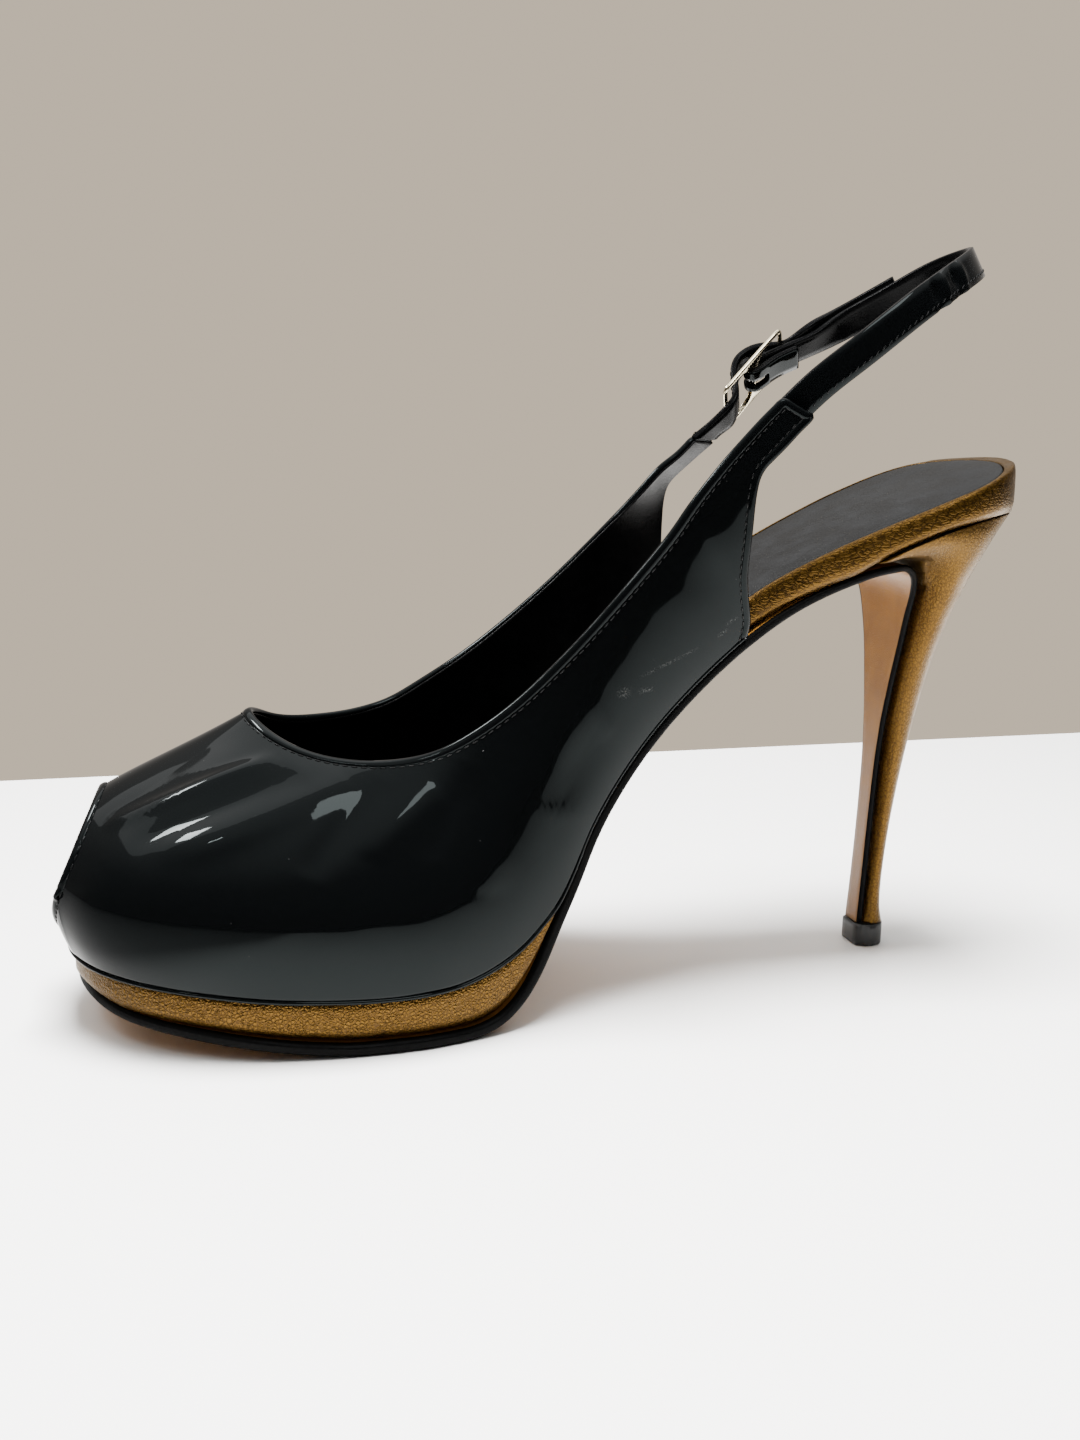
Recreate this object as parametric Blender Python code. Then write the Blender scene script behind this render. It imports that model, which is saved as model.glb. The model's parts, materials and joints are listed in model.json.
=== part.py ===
"""Platform slingback pump with a peep toe, right shoe, size about EU 37.

Metres, +Z up, the toe towards -X and the inner side of the foot towards -Y. The shoe stands empty on
the forefoot of its outsole and on its heel tip. Lengths in this file are millimetres: x from the toe
datum, y from the middle line of the foot, z from the floor.
"""

import bmesh
import bpy
import numpy as np

MM = 0.001
GAP = 0.3
ORIGIN = np.array((102.953, 1.11, 0.0))

# Driving dimensions of the shoe
TOE_START = 1.5
TOE_ROUND_LENGTH = 40.0
TOE_BLUNTNESS = 2.2
TOE_TURN = 0.26
TOE_TURN_START = 8.0
TOE_TURN_END = 75.0
UPPER_WALL = 1.6
UPPER_OVERHANG = 0.5
OUTSOLE_INSET = 1.2
OUTSOLE_CHAMFER = 0.5
PLATFORM_INSET = 0.5
PLATFORM_END = 98.2
CORE_CLEARANCE = 0.6
CORE_LEAST = 0.8
BAND_LEAST = 0.2
BOARD_CLEARANCE = 0.9
BOARD_TOE_CLEARANCE = 1.2
BOARD_END = 207.4
SEAT_BLEND_START = 130.0
SEAT_BLEND_END = 146.0
SEAT_ROUND_START = 180.0
ROUND_END_STEPS = (0.25, 0.75)
END_RIM_SHARE = 0.6
SOCK_INSET = 1.9
SOCK_BACK_INSET = 3.6
SOCK_THICK = 1.1
RIM_BEVEL = 1.0
HEEL_TIP_HEIGHT = 5.1
HEEL_TIP_FRONT = 178.3
HEEL_TIP_BACK = 186.1
HEEL_TIP_BREAST = 3.4
HEEL_TIP_WIDEST = 4.8
STRAP_WIDTH = 6.8
STRAP_SHIFT = 0.9
STRAP_THICK = 1.4
PEEP_TOP = (9.6, 49.6)
PEEP_FOOT = (-1.2, 24.6)
PEEP_SILL = 20.0
PEEP_TURN = 0.11
BUCKLE_LENGTH = 22.0
BUCKLE_WIDTH = 12.4
BUCKLE_WIRE = 0.6
BUCKLE_CORNER = 1.6
STRAP_TILT = 28.5
SLOT_HALF_WIDTH = 1.1
FOLD_SLOT_ALONG = (-3.0, 2.6)
FOLD_SLOT_OUT = (-3.0, 3.0)
STRAP_HOLE_ALONG = (5.0, 10.4)
STRAP_HOLE_OUT = (-1.0, 6.0)

# Colours of the materials
TAN = (0.45, 0.27, 0.15)
BRONZE = (0.42, 0.28, 0.15)
DARK_GREY = (0.05, 0.05, 0.05)
RUBBER_BLACK = (0.02, 0.02, 0.02)
PATENT_BLACK = (0.012, 0.012, 0.012)
PALE_GOLD = (0.78, 0.70, 0.55)

# Number of sections along each piece
OUTSOLE_TOE_SECTIONS = 9
OUTSOLE_SECTIONS = 74
PLATFORM_SECTIONS = 40
BOARD_SECTIONS = 66
HEEL_SECTIONS = 26
PEEP_COLUMNS = 10
QUARTER_COLUMNS = 30
TAB_COLUMNS = 14
BACK_STRAP_SECTIONS = 72
BUCKLE_STRAP_SECTIONS = 64

# Outsole, a row for each section: middle line of its underside, half widths to the inner and outer
# side before the toe is rounded off, and thickness. The last rows run down the heel's breast.
SOLE_COLUMNS = ("x", "z", "inner", "outer", "thick")
SOLE = (
    (2.7, 8.0, 34.5, 33.5, 1.9),
    (10.0, 5.6, 34.6, 34.3, 2.1),
    (22.0, 3.9, 35.0, 35.7, 2.3),
    (34.0, 2.2, 36.2, 37.7, 2.4),
    (44.0, 0.9, 37.3, 39.4, 2.4),
    (55.0, 0.0, 38.1, 40.8, 2.4),
    (66.0, 0.0, 37.9, 40.7, 2.4),
    (76.0, 0.0, 36.0, 39.8, 2.4),
    (83.0, 1.4, 34.2, 38.2, 2.4),
    (88.5, 5.2, 32.4, 36.4, 2.4),
    (93.0, 11.4, 30.8, 34.7, 2.5),
    (97.0, 19.6, 29.3, 32.9, 2.5),
    (101.0, 27.6, 27.9, 31.2, 2.5),
    (105.3, 37.4, 26.5, 29.4, 2.5),
    (111.0, 46.6, 24.9, 27.3, 2.4),
    (119.0, 56.7, 23.3, 25.2, 2.3),
    (129.0, 66.5, 21.8, 23.4, 2.2),
    (140.0, 75.2, 20.4, 21.4, 2.2),
    (151.0, 82.3, 20.1, 20.5, 2.0),
    (162.0, 87.1, 20.4, 20.4, 1.9),
    (170.0, 89.4, 20.0, 20.0, 1.8),
    (176.5, 90.0, 17.6, 17.6, 1.6),
    (180.2, 87.5, 14.6, 14.6, 1.4),
    (181.4, 82.5, 11.6, 11.6, 1.2),
    (181.4, 74.0, 8.8, 8.8, 1.2),
    (181.0, 64.0, 6.4, 6.4, 1.2),
    (180.5, 52.0, 4.2, 4.2, 1.2),
    (180.1, 40.0, 3.3, 3.3, 1.2),
    (179.4, 22.0, 3.1, 3.1, 1.2),
    (178.6, 5.4, 3.3, 3.3, 1.2),
)
BREAST_ROW = 21

# Top edge of the bronze platform band, which carries the upper in the forefoot.
RIM_COLUMNS = ("x", "z")
RIM = (
    (1.0, 14.4),
    (11.0, 13.9),
    (25.0, 12.8),
    (43.0, 11.3),
    (60.0, 10.7),
    (72.0, 11.3),
    (80.0, 13.2),
    (88.0, 17.2),
    (95.0, 23.6),
    (98.2, 27.4),
)

# Insole board: top face, greatest depth below it, and half widths where it shows as the heel seat.
BOARD_COLUMNS = ("x", "top", "deep")
BOARD = (
    (3.0, 19.6, 2.4),
    (20.0, 19.2, 2.4),
    (40.0, 18.5, 2.4),
    (60.0, 18.4, 2.4),
    (74.0, 19.8, 2.4),
    (84.0, 25.0, 2.9),
    (92.0, 32.2, 3.4),
    (96.0, 36.6, 5.4),
    (99.6, 41.0, 12.0),
    (104.0, 47.0, 12.0),
    (112.0, 56.8, 12.0),
    (121.0, 66.8, 12.0),
    (130.0, 76.0, 12.0),
    (140.0, 85.1, 12.0),
    (154.0, 93.2, 14.0),
    (172.0, 101.5, 14.0),
    (189.0, 108.4, 14.0),
    (200.0, 112.5, 14.0),
    (207.4, 114.2, 14.0),
)
SEAT_COLUMNS = ("x", "half")
SEAT = (
    (130.0, 19.6),
    (138.0, 19.1),
    (146.0, 19.6),
    (156.0, 21.1),
    (168.0, 23.4),
    (180.0, 25.3),
    (187.0, 25.4),
    (194.0, 23.7),
    (199.6, 20.0),
    (203.9, 14.2),
    (206.5, 7.8),
    (207.4, 3.0),
)
SEAM_START = 165.0

# Heel, a row for each section: its front and back points, half widths at the flat breast and at
# its widest, and how far the section arches. The last row is the seam with the heel seat.
HEEL_COLUMNS = ("front_x", "front_z", "back_x", "back_z", "breast", "widest", "crown")
HEEL = (
    (180.1, 5.4, 185.8, 5.4, 3.2, 4.5, 0.0),
    (180.6, 12.0, 184.6, 12.0, 3.0, 4.5, 0.0),
    (181.2, 27.0, 185.4, 27.0, 2.9, 4.9, 0.0),
    (181.8, 43.0, 187.6, 43.5, 3.3, 5.8, 0.0),
    (182.3, 57.0, 190.1, 58.5, 5.0, 7.6, 0.0),
    (182.8, 69.0, 192.6, 73.0, 7.6, 11.2, 0.0),
    (183.1, 77.5, 194.8, 81.5, 9.8, 14.6, 0.0),
    (183.1, 84.0, 196.8, 89.0, 12.2, 18.4, 0.4),
    (182.4, 88.9, 198.8, 94.5, 15.6, 22.0, 1.0),
    (178.8, 92.4, 201.6, 98.2, 19.6, 24.0, 1.8),
    (172.0, 92.5, 204.4, 100.8, 22.0, 24.8, 2.5),
    (167.0, 92.2, 206.3, 102.6, 22.8, 25.0, 2.9),
)
HEEL_WIDEST_AT = 0.36
HEEL_SQUARENESS = 0.72

# Upper, a row for each rib from the toe's middle to the end of the strap's tab: where the rib stands
# on the sole, how far its foot is lifted off the sole and flared out of it, its top on both sides,
# and the two handles of its curve: how far up the chord they sit and how far they stand out, in the
# direction that the rib faces.
RIB_COLUMNS = ("foot_x", "flare", "lift_in", "lift_out", "top_x", "top_in", "top_out", "top_z_in",
               "top_z_out", "rise_low", "out_low", "rise_high", "out_high", "facing")
RIBS = (
    (1.0, 0.0, 0.0, 0.0, 38.0, 0.0, 0.0, 60.9, 60.9, 0.66, 37.2, 0.646, 15.8, 0),
    (2.6, 0.0, 0.0, 0.0, 38.7, 3.4, 3.4, 59.9, 60.7, 0.52, 31.6, 0.66, 14.9, 20),
    (7.2, 0.0, 0.0, 0.0, 40.6, 7.4, 7.4, 58.4, 59.4, 0.44, 26.2, 0.74, 15.0, 42),
    (15.0, 0.0, 0.0, 0.0, 43.8, 11.4, 11.4, 56.6, 57.6, 0.41, 21.8, 0.81, 14.7, 58),
    (26.0, 0.0, 0.0, 0.0, 48.4, 15.2, 15.2, 55.0, 56.3, 0.39, 17.0, 0.83, 13.4, 72),
    (40.0, 0.0, 0.0, 0.0, 54.2, 18.6, 18.8, 54.1, 55.7, 0.37, 13.5, 0.85, 12.0, 82),
    (55.0, 0.0, 0.0, 0.0, 60.8, 21.6, 21.8, 54.1, 55.7, 0.35, 11.0, 0.84, 10.0, 88),
    (70.0, 0.0, 0.0, 0.0, 67.2, 23.6, 24.0, 55.0, 56.5, 0.33, 8.5, 0.83, 8.0, 92),
    (82.0, 0.0, 0.0, 0.0, 72.6, 25.0, 25.4, 56.8, 58.0, 0.32, 6.5, 0.80, 6.5, 93),
    (92.0, 0.0, 0.0, 0.0, 78.2, 26.0, 26.4, 59.9, 60.8, 0.32, 5.0, 0.78, 5.0, 93),
    (100.0, 0.0, 0.0, 0.0, 85.0, 26.6, 26.8, 64.6, 64.8, 0.32, 4.0, 0.75, 4.0, 92),
    (107.5, 0.0, 0.0, 0.0, 92.6, 27.0, 26.6, 71.2, 70.0, 0.32, 3.2, 0.72, 3.0, 90),
    (117.0, 0.0, 0.0, 0.0, 101.4, 27.0, 25.8, 79.9, 77.2, 0.32, 2.8, 0.70, 2.4, 90),
    (128.0, 0.0, 0.0, 0.0, 110.0, 26.8, 24.8, 89.2, 85.0, 0.32, 2.4, 0.70, 2.0, 90),
    (138.0, 0.0, 0.0, 0.0, 117.6, 26.6, 23.8, 98.0, 92.6, 0.32, 2.0, 0.70, 1.6, 90),
    (136.6, 2.3, 11.0, 10.0, 121.6, 26.4, 22.8, 103.6, 97.0, 0.32, 1.6, 0.70, 1.2, 90),
    (136.0, 3.9, 21.6, 19.4, 125.6, 26.2, 22.0, 108.8, 101.4, 0.32, 1.2, 0.70, 0.8, 90),
    (136.1, 4.8, 30.0, 26.4, 129.6, 26.0, 21.4, 113.6, 106.0, 0.32, 0.8, 0.70, 0.5, 90),
    (137.4, 5.2, 35.0, 30.6, 133.6, 25.8, 21.2, 117.9, 110.4, 0.32, 0.5, 0.70, 0.3, 90),
    (141.6, 5.5, 36.4, 31.8, 137.4, 25.6, 21.6, 121.8, 113.2, 0.32, 0.3, 0.70, 0.2, 90),
    (148.0, 5.5, 38.9, 33.4, 141.6, 25.4, 22.4, 125.7, 117.0, 0.32, 0.2, 0.70, 0.1, 90),
)
CORNER_RIB = 14

# Sling strap, a row for each bend of its middle line, with the way that its upper edge points.
STRAP_COLUMNS = ("x", "y", "z", "up_x", "up_y", "up_z")
BACK_STRAP = (
    (137.5, -22.6, 116.0, -0.70, 0.04, 0.72),
    (145.0, -23.0, 123.6, -0.70, 0.04, 0.72),
    (150.0, -24.4, 128.8, -0.68, 0.04, 0.74),
    (157.0, -25.2, 134.4, -0.64, 0.04, 0.77),
    (171.0, -23.8, 144.6, -0.62, 0.06, 0.78),
    (183.0, -18.8, 151.4, -0.58, 0.06, 0.81),
    (192.6, -9.8, 155.4, -0.52, 0.03, 0.85),
    (196.4, 0.0, 156.2, -0.48, 0.00, 0.87),
    (194.0, 9.2, 154.2, -0.52, -0.06, 0.85),
    (186.6, 17.6, 148.4, -0.54, -0.16, 0.82),
    (179.0, 24.0, 143.0, -0.50, -0.32, 0.80),
)

# Buckle: middle of its bar, the way its long side runs and the way its bar runs.
BUCKLE_MIDDLE = np.array((158.2, 26.2, 130.9))
BUCKLE_ALONG = np.array((0.706, 0.255, 0.660))
BUCKLE_ACROSS = np.array((-0.37, -0.66, 0.65))

# Free end of the buckle strap in the buckle's own frame: along the buckle and out from its bar.
BUCKLE_PATH_COLUMNS = ("along", "out")
LOOP = (
    (-11.0, -1.7),
    (-6.0, 0.6),
    (-2.6, 3.6),
    (1.6, 5.0),
    (5.2, 3.9),
    (7.7, 1.5),
    (10.3, -1.7),
)

# The rest of that free end lies on the sling strap: at which x, and how far above the strap's middle.
FREE_END_COLUMNS = ("x", "raised")
FREE_END = (
    (172.0, 0.8),
    (176.5, 0.7),
    (182.0, 0.6),
    (189.0, 0.7),
)

# Prong, from the middle bar to the rear bar, in the buckle's own frame.
PRONG = (
    (0.0, 1.6),
    (2.0, 2.0),
    (4.5, 2.2),
    (7.0, 2.2),
    (9.2, 2.0),
    (11.6, 1.6),
)


def natural_spline(keys, values, at):
    """Smoothest curve through the rows, column by column."""
    keys = np.asarray(keys, float)
    values = np.asarray(values, float)
    steps = np.diff(keys)
    slopes = np.diff(values, axis=0) / steps[:, None]
    system = np.eye(len(keys))
    right = np.zeros_like(values)
    for row in range(1, len(keys) - 1):
        before, after = steps[row - 1], steps[row]
        system[row, row - 1:row + 2] = before, 2 * (before + after), after
        right[row] = 6 * (slopes[row] - slopes[row - 1])
    bends = np.linalg.solve(system, right)
    at = np.asarray(at, float)
    row = np.clip(np.searchsorted(keys, at) - 1, 0, len(keys) - 2)
    t = (at - keys[row])[:, None]
    step = steps[row][:, None]
    start = slopes[row] - step * (2 * bends[row] + bends[row + 1]) / 6
    return values[row] + t * start + t**2 * bends[row] / 2 + t**3 * (bends[row + 1] - bends[row]) / (6 * step)


def steady_curve(keys, values, at):
    """Smooth curve through the rows that never swings past them, for flat stretches and corners."""
    keys = np.asarray(keys, float)
    values = np.asarray(values, float)
    steps = np.diff(keys)
    slopes = np.diff(values, axis=0) / steps[:, None]
    tangents = np.zeros_like(values)
    tangents[0] = slopes[0]
    tangents[-1] = slopes[-1]
    before, after = slopes[:-1], slopes[1:]
    same_way = before * after > 0
    tangents[1:-1] = np.where(same_way, 2 * before * after / np.where(same_way, before + after, 1), 0)
    at = np.asarray(at, float)
    row = np.clip(np.searchsorted(keys, at) - 1, 0, len(keys) - 2)
    step = steps[row][:, None]
    t = ((at - keys[row]) / steps[row])[:, None]
    return ((1 + 2 * t) * (1 - t)**2 * values[row] + t * (1 - t)**2 * step * tangents[row]
            + t**2 * (3 - 2 * t) * values[row + 1] + t**2 * (t - 1) * step * tangents[row + 1])


def pick(table, columns, *names):
    """The named columns of a table, in the order of the names."""
    return np.array(table, float)[:, [columns.index(name) for name in names]]


def table_at(table, columns, at, *names):
    """The named columns of a table at the given x."""
    x = pick(table, columns, "x")[:, 0]
    return steady_curve(x, pick(table, columns, *names), at).T


def unit(vectors):
    return vectors / np.linalg.norm(vectors, axis=-1, keepdims=True)


def sole_at(rows):
    """Middle line, half widths and thickness of the outsole at places between its rows."""
    return steady_curve(range(len(SOLE)), pick(SOLE, SOLE_COLUMNS, "x", "z", "inner", "outer", "thick"), rows).T


def toe_rounding(x, outset):
    """How much of the full half width the rounded toe leaves, 1 behind the toe."""
    reach = np.clip((x - TOE_START + outset) / TOE_ROUND_LENGTH, 0, 1)
    return (1 - (1 - reach)**TOE_BLUNTNESS)**(1 / TOE_BLUNTNESS)


def turn_toe(points):
    """Sweep the outer side of the toe back, so that the toe turns in towards the big toe."""
    points = np.array(points, float)
    outer = np.maximum(points[:, 1], 0)
    behind = np.clip(points[:, 0] / TOE_TURN_END, 0, 1)
    share = 1 - behind**2 * (3 - 2 * behind)
    points[:, 0] += TOE_TURN * outer**2 / (outer + TOE_TURN_START) * share
    return points


def sole_half_widths(x, outset):
    """Inner and outer half width of the sole's outline in front of the heel, moved out by outset."""
    inner, outer = table_at(SOLE[:BREAST_ROW], SOLE_COLUMNS, x, "inner", "outer")
    rounding = toe_rounding(x, outset)
    return inner * rounding + outset, outer * rounding + outset


def sole_top(x):
    """Height that clears the outsole's upper face at x, in front of the heel."""
    rows = np.linspace(0, BREAST_ROW, 240)
    line_x, line_z, _, _, thick = sole_at(rows)
    ahead = unit(np.gradient(np.stack((line_x, line_z), axis=1), axis=0))
    reach = thick + GAP
    return np.interp(x, line_x - ahead[:, 1] * reach, line_z + ahead[:, 0] * reach)


def upper_seat(x):
    """Height that the upper's lower edge stands on: the platform's rim, then the outsole."""
    rim, = table_at(RIM, RIM_COLUMNS, np.clip(x, RIM[0][0], RIM[-1][0]), "z")
    return np.where(x < PLATFORM_END, np.maximum(rim + GAP, sole_top(x)), sole_top(x))


def seam_height(x):
    """Height of the seam between the heel and the heel seat, along the heel's last section."""
    seam = dict(zip(HEEL_COLUMNS, HEEL[-1]))
    u = (x - seam["front_x"]) / (seam["back_x"] - seam["front_x"])
    return seam["front_z"] + (seam["back_z"] - seam["front_z"]) * u + seam["crown"] * 4 * u * (1 - u)


def board_faces(x):
    """Heights of the insole board's upper and lower face."""
    top, deep = table_at(BOARD, BOARD_COLUMNS, x, "top", "deep")
    rests_on = np.where(x < SEAM_START, sole_top(x), np.maximum(sole_top(x), seam_height(x) + GAP))
    return top, np.maximum(top - deep, rests_on)


def board_half_widths(x, inset):
    """Half widths of the insole board: inside the upper's wall, then the heel seat's own outline."""
    clear = UPPER_WALL - UPPER_OVERHANG + BOARD_CLEARANCE
    inner, outer = sole_half_widths(np.minimum(x, SEAT_BLEND_END), -clear - inset)
    back_inset = inset + SOCK_BACK_INSET - SOCK_INSET if inset > 0 else 0.0
    round_off = np.clip((x - SEAT_ROUND_START) / (BOARD_END - back_inset - SEAT_ROUND_START), 0, 1)
    round_off = round_off * round_off * (3 - 2 * round_off)
    along = np.clip(x + back_inset * round_off, SEAT[0][0], SEAT[-1][0])
    seat, = table_at(SEAT, SEAT_COLUMNS, along, "half")
    own, = table_at(SEAT, SEAT_COLUMNS, np.clip(x, SEAT[0][0], SEAT[-1][0]), "half")
    seat = np.minimum(seat - inset * (1 - round_off), own - END_RIM_SHARE * inset)
    blend = np.clip((x - SEAT_BLEND_START) / (SEAT_BLEND_END - SEAT_BLEND_START), 0, 1)
    return inner + (seat - inner) * blend, outer + (seat - outer) * blend


def board_stations(inset):
    """Places along the board at which it and the sock have their sections."""
    start = TOE_START + UPPER_WALL + BOARD_TOE_CLEARANCE
    t = np.linspace(0.02, 1, BOARD_SECTIONS)
    x = start + (BOARD_END - start) * (0.5 * t + 0.25 * (1 - np.cos(np.pi * t)))
    last = BOARD_END - SOCK_BACK_INSET
    round_end = np.array(ROUND_END_STEPS)
    x = np.sort(np.concatenate((x, last - round_end)))
    if inset == 0:
        return np.sort(np.concatenate((x, BOARD_END - round_end, (last + GAP, last + GAP + 0.05))))
    first = x[0] + inset
    return np.concatenate(((first,), x[(x > first) & (x < last)], (last,)))


def paint(obj, base_colour, roughness, metallic=0.0):
    material = bpy.data.materials.new(obj.name)
    material.use_nodes = True
    shader = material.node_tree.nodes["Principled BSDF"]
    shader.inputs["Base Color"].default_value = (*base_colour, 1.0)
    shader.inputs["Roughness"].default_value = roughness
    shader.inputs["Metallic"].default_value = metallic
    obj.data.materials.append(material)


def add_object(name, points, faces):
    """Object from points in millimetres, its faces turned outwards and shaded smooth."""
    shape = bmesh.new()
    verts = [shape.verts.new((point - ORIGIN) * MM) for point in turn_toe(points)]
    for face in faces:
        shape.faces.new([verts[index] for index in face])
    bmesh.ops.recalc_face_normals(shape, faces=shape.faces[:])
    mesh = bpy.data.meshes.new(name)
    shape.to_mesh(mesh)
    shape.free()
    mesh.shade_smooth()
    mesh.set_sharp_from_angle(angle=np.radians(35))
    obj = bpy.data.objects.new(name, mesh)
    bpy.context.scene.collection.objects.link(obj)
    return obj


def loft(name, rings, closed=False):
    """Skin over rings of points. An open run of rings is capped, a closed one meets itself."""
    rings = np.asarray(rings, float)
    count, around = rings.shape[:2]
    index = np.arange(count * around).reshape(count, around)
    faces = []
    for ring in range(count if closed else count - 1):
        this, following = index[ring], index[(ring + 1) % count]
        for side in range(around):
            beside = (side + 1) % around
            faces.append((this[side], this[beside], following[beside], following[side]))
    if not closed:
        faces.append(tuple(index[0]))
        faces.append(tuple(index[-1]))
    return add_object(name, rings.reshape(-1, 3), faces)


def make_outsole():
    """Bent plate with chamfered edges: toe spring, flat tread, arch, and the flap down the breast."""
    chamfer = OUTSOLE_CHAMFER
    toe_rows = np.linspace(0.1, 1, OUTSOLE_TOE_SECTIONS)**2
    rows = np.concatenate((toe_rows, np.linspace(1.25, len(SOLE) - 1, OUTSOLE_SECTIONS)))
    x, z, inner, outer, thick = sole_at(rows)
    rounding = toe_rounding(x, -OUTSOLE_INSET)
    inner, outer = inner * rounding, outer * rounding
    ahead = unit(np.gradient(np.stack((x, z), axis=1), axis=0))
    rings = []
    for i in range(len(rows)):
        normal = np.array((-ahead[i, 1], 0.0, ahead[i, 0]))
        middle = np.array((x[i], 0.0, z[i]))
        section = ((-inner[i] + chamfer, 0), (-inner[i], chamfer), (-inner[i], thick[i]),
                   (outer[i], thick[i]), (outer[i], chamfer), (outer[i] - chamfer, 0))
        rings.append([middle + (0, side, 0) + normal * up for side, up in section])
    obj = loft("outsole", rings)
    paint(obj, TAN, 0.5)


def make_platform():
    """Bronze band under the upper's edge, with a core that rises inside the upper to the board."""
    step = UPPER_WALL + UPPER_OVERHANG + CORE_CLEARANCE
    start = TOE_START + PLATFORM_INSET
    x = start + (PLATFORM_END - start) * np.linspace(0.04, 1, PLATFORM_SECTIONS)**2
    inner, outer = sole_half_widths(x, -PLATFORM_INSET)
    core_in, core_out = sole_half_widths(x, -PLATFORM_INSET - step)
    bottom = sole_top(x)
    seat = upper_seat(x)
    rim = np.maximum(seat - GAP * np.hypot(1, np.gradient(seat, x)), bottom + BAND_LEAST)
    has_core = np.minimum(core_in, core_out) > CORE_LEAST
    core = np.where(has_core, np.maximum(board_faces(x)[1] - 2 * GAP, rim), rim) + 0.05
    core_in = np.maximum(core_in, CORE_LEAST)
    core_out = np.maximum(core_out, CORE_LEAST)
    rings = []
    for i in range(len(x)):
        section = ((-inner[i], bottom[i]), (-inner[i], rim[i]), (-core_in[i], rim[i]),
                   (-core_in[i], core[i]), (core_out[i], core[i]),
                   (core_out[i], rim[i]), (outer[i], rim[i]), (outer[i], bottom[i]))
        rings.append([(x[i], side, height) for side, height in section])
    obj = loft("platform", rings)
    paint(obj, BRONZE, 0.45, 0.7)


def make_insole_board():
    """Insole board, thin in the forefoot, with a deep wrapped rim at the heel seat round the sock."""
    x = board_stations(0.0)
    inner, outer = board_half_widths(x, 0.0)
    rim = SOCK_INSET - GAP
    under_in, under_out = board_half_widths(x, rim)
    top, bottom = board_faces(x)
    bevel = np.minimum(RIM_BEVEL, (top - bottom) * 0.35)
    recess = np.where(x < BOARD_END - SOCK_BACK_INSET + GAP + 0.01, SOCK_THICK + GAP, 0.0)
    rings = []
    for i in range(len(x)):
        section = ((-inner[i], bottom[i]), (-inner[i], top[i] - bevel[i]), (-inner[i] + bevel[i], top[i]),
                   (-under_in[i], top[i]), (-under_in[i], top[i] - recess[i]),
                   (under_out[i], top[i] - recess[i]), (under_out[i], top[i]),
                   (outer[i] - bevel[i], top[i]), (outer[i], top[i] - bevel[i]), (outer[i], bottom[i]))
        rings.append([(x[i], side, height) for side, height in section])
    obj = loft("insole_board", rings)
    paint(obj, BRONZE, 0.45, 0.7)


def make_sock_lining():
    """Thin dark sock over the board, inside its rim."""
    x = board_stations(SOCK_INSET)
    inner, outer = board_half_widths(x, SOCK_INSET)
    top = board_faces(x)[0]
    rings = []
    for i in range(len(x)):
        section = ((-inner[i], top[i] - SOCK_THICK), (-inner[i], top[i]),
                   (outer[i], top[i]), (outer[i], top[i] - SOCK_THICK))
        rings.append([(x[i], side, height) for side, height in section])
    obj = loft("sock_lining", rings)
    paint(obj, DARK_GREY, 0.6)


def heel_section(front, back, breast, widest, crown):
    """Ring of a heel section: a flat breast, sides that swell, and a round back."""
    run = back - front
    outline = []
    for u in np.linspace(0, 1, 5)[:-1]:
        outline.append((HEEL_WIDEST_AT * u, breast + (widest - breast) * np.sin(u * np.pi / 2)))
    for turn in np.linspace(0, np.pi / 2, 8):
        half = widest * max(np.cos(turn), 0.0) ** HEEL_SQUARENESS
        outline.append((HEEL_WIDEST_AT + (1 - HEEL_WIDEST_AT) * np.sin(turn), half))
    outline[-1] = (1.0, 0.0)
    outline += [(u, -half) for u, half in reversed(outline[:-1])]
    return [front + run * u + (0, -half, crown * 4 * u * (1 - u)) for u, half in outline]


def make_heel():
    """Slender covered heel, its sections tilting from level at the tip to the slope of the seat."""
    table = natural_spline(range(len(HEEL)), HEEL, np.linspace(0, len(HEEL) - 1, HEEL_SECTIONS))
    rings = []
    for row in table:
        at = dict(zip(HEEL_COLUMNS, row))
        front = np.array((at["front_x"], 0.0, at["front_z"]))
        back = np.array((at["back_x"], 0.0, at["back_z"]))
        rings.append(heel_section(front, back, at["breast"], at["widest"], at["crown"]))
    obj = loft("heel", rings)
    paint(obj, BRONZE, 0.45, 0.7)


def make_heel_tip():
    """Black top piece under the heel and under the end of the flap."""
    rings = []
    for height in (0.0, HEEL_TIP_HEIGHT):
        front = np.array((HEEL_TIP_FRONT, 0.0, height))
        back = np.array((HEEL_TIP_BACK, 0.0, height))
        rings.append(heel_section(front, back, HEEL_TIP_BREAST, HEEL_TIP_WIDEST, 0.0))
    obj = loft("heel_tip", rings)
    paint(obj, RUBBER_BLACK, 0.5)


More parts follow.
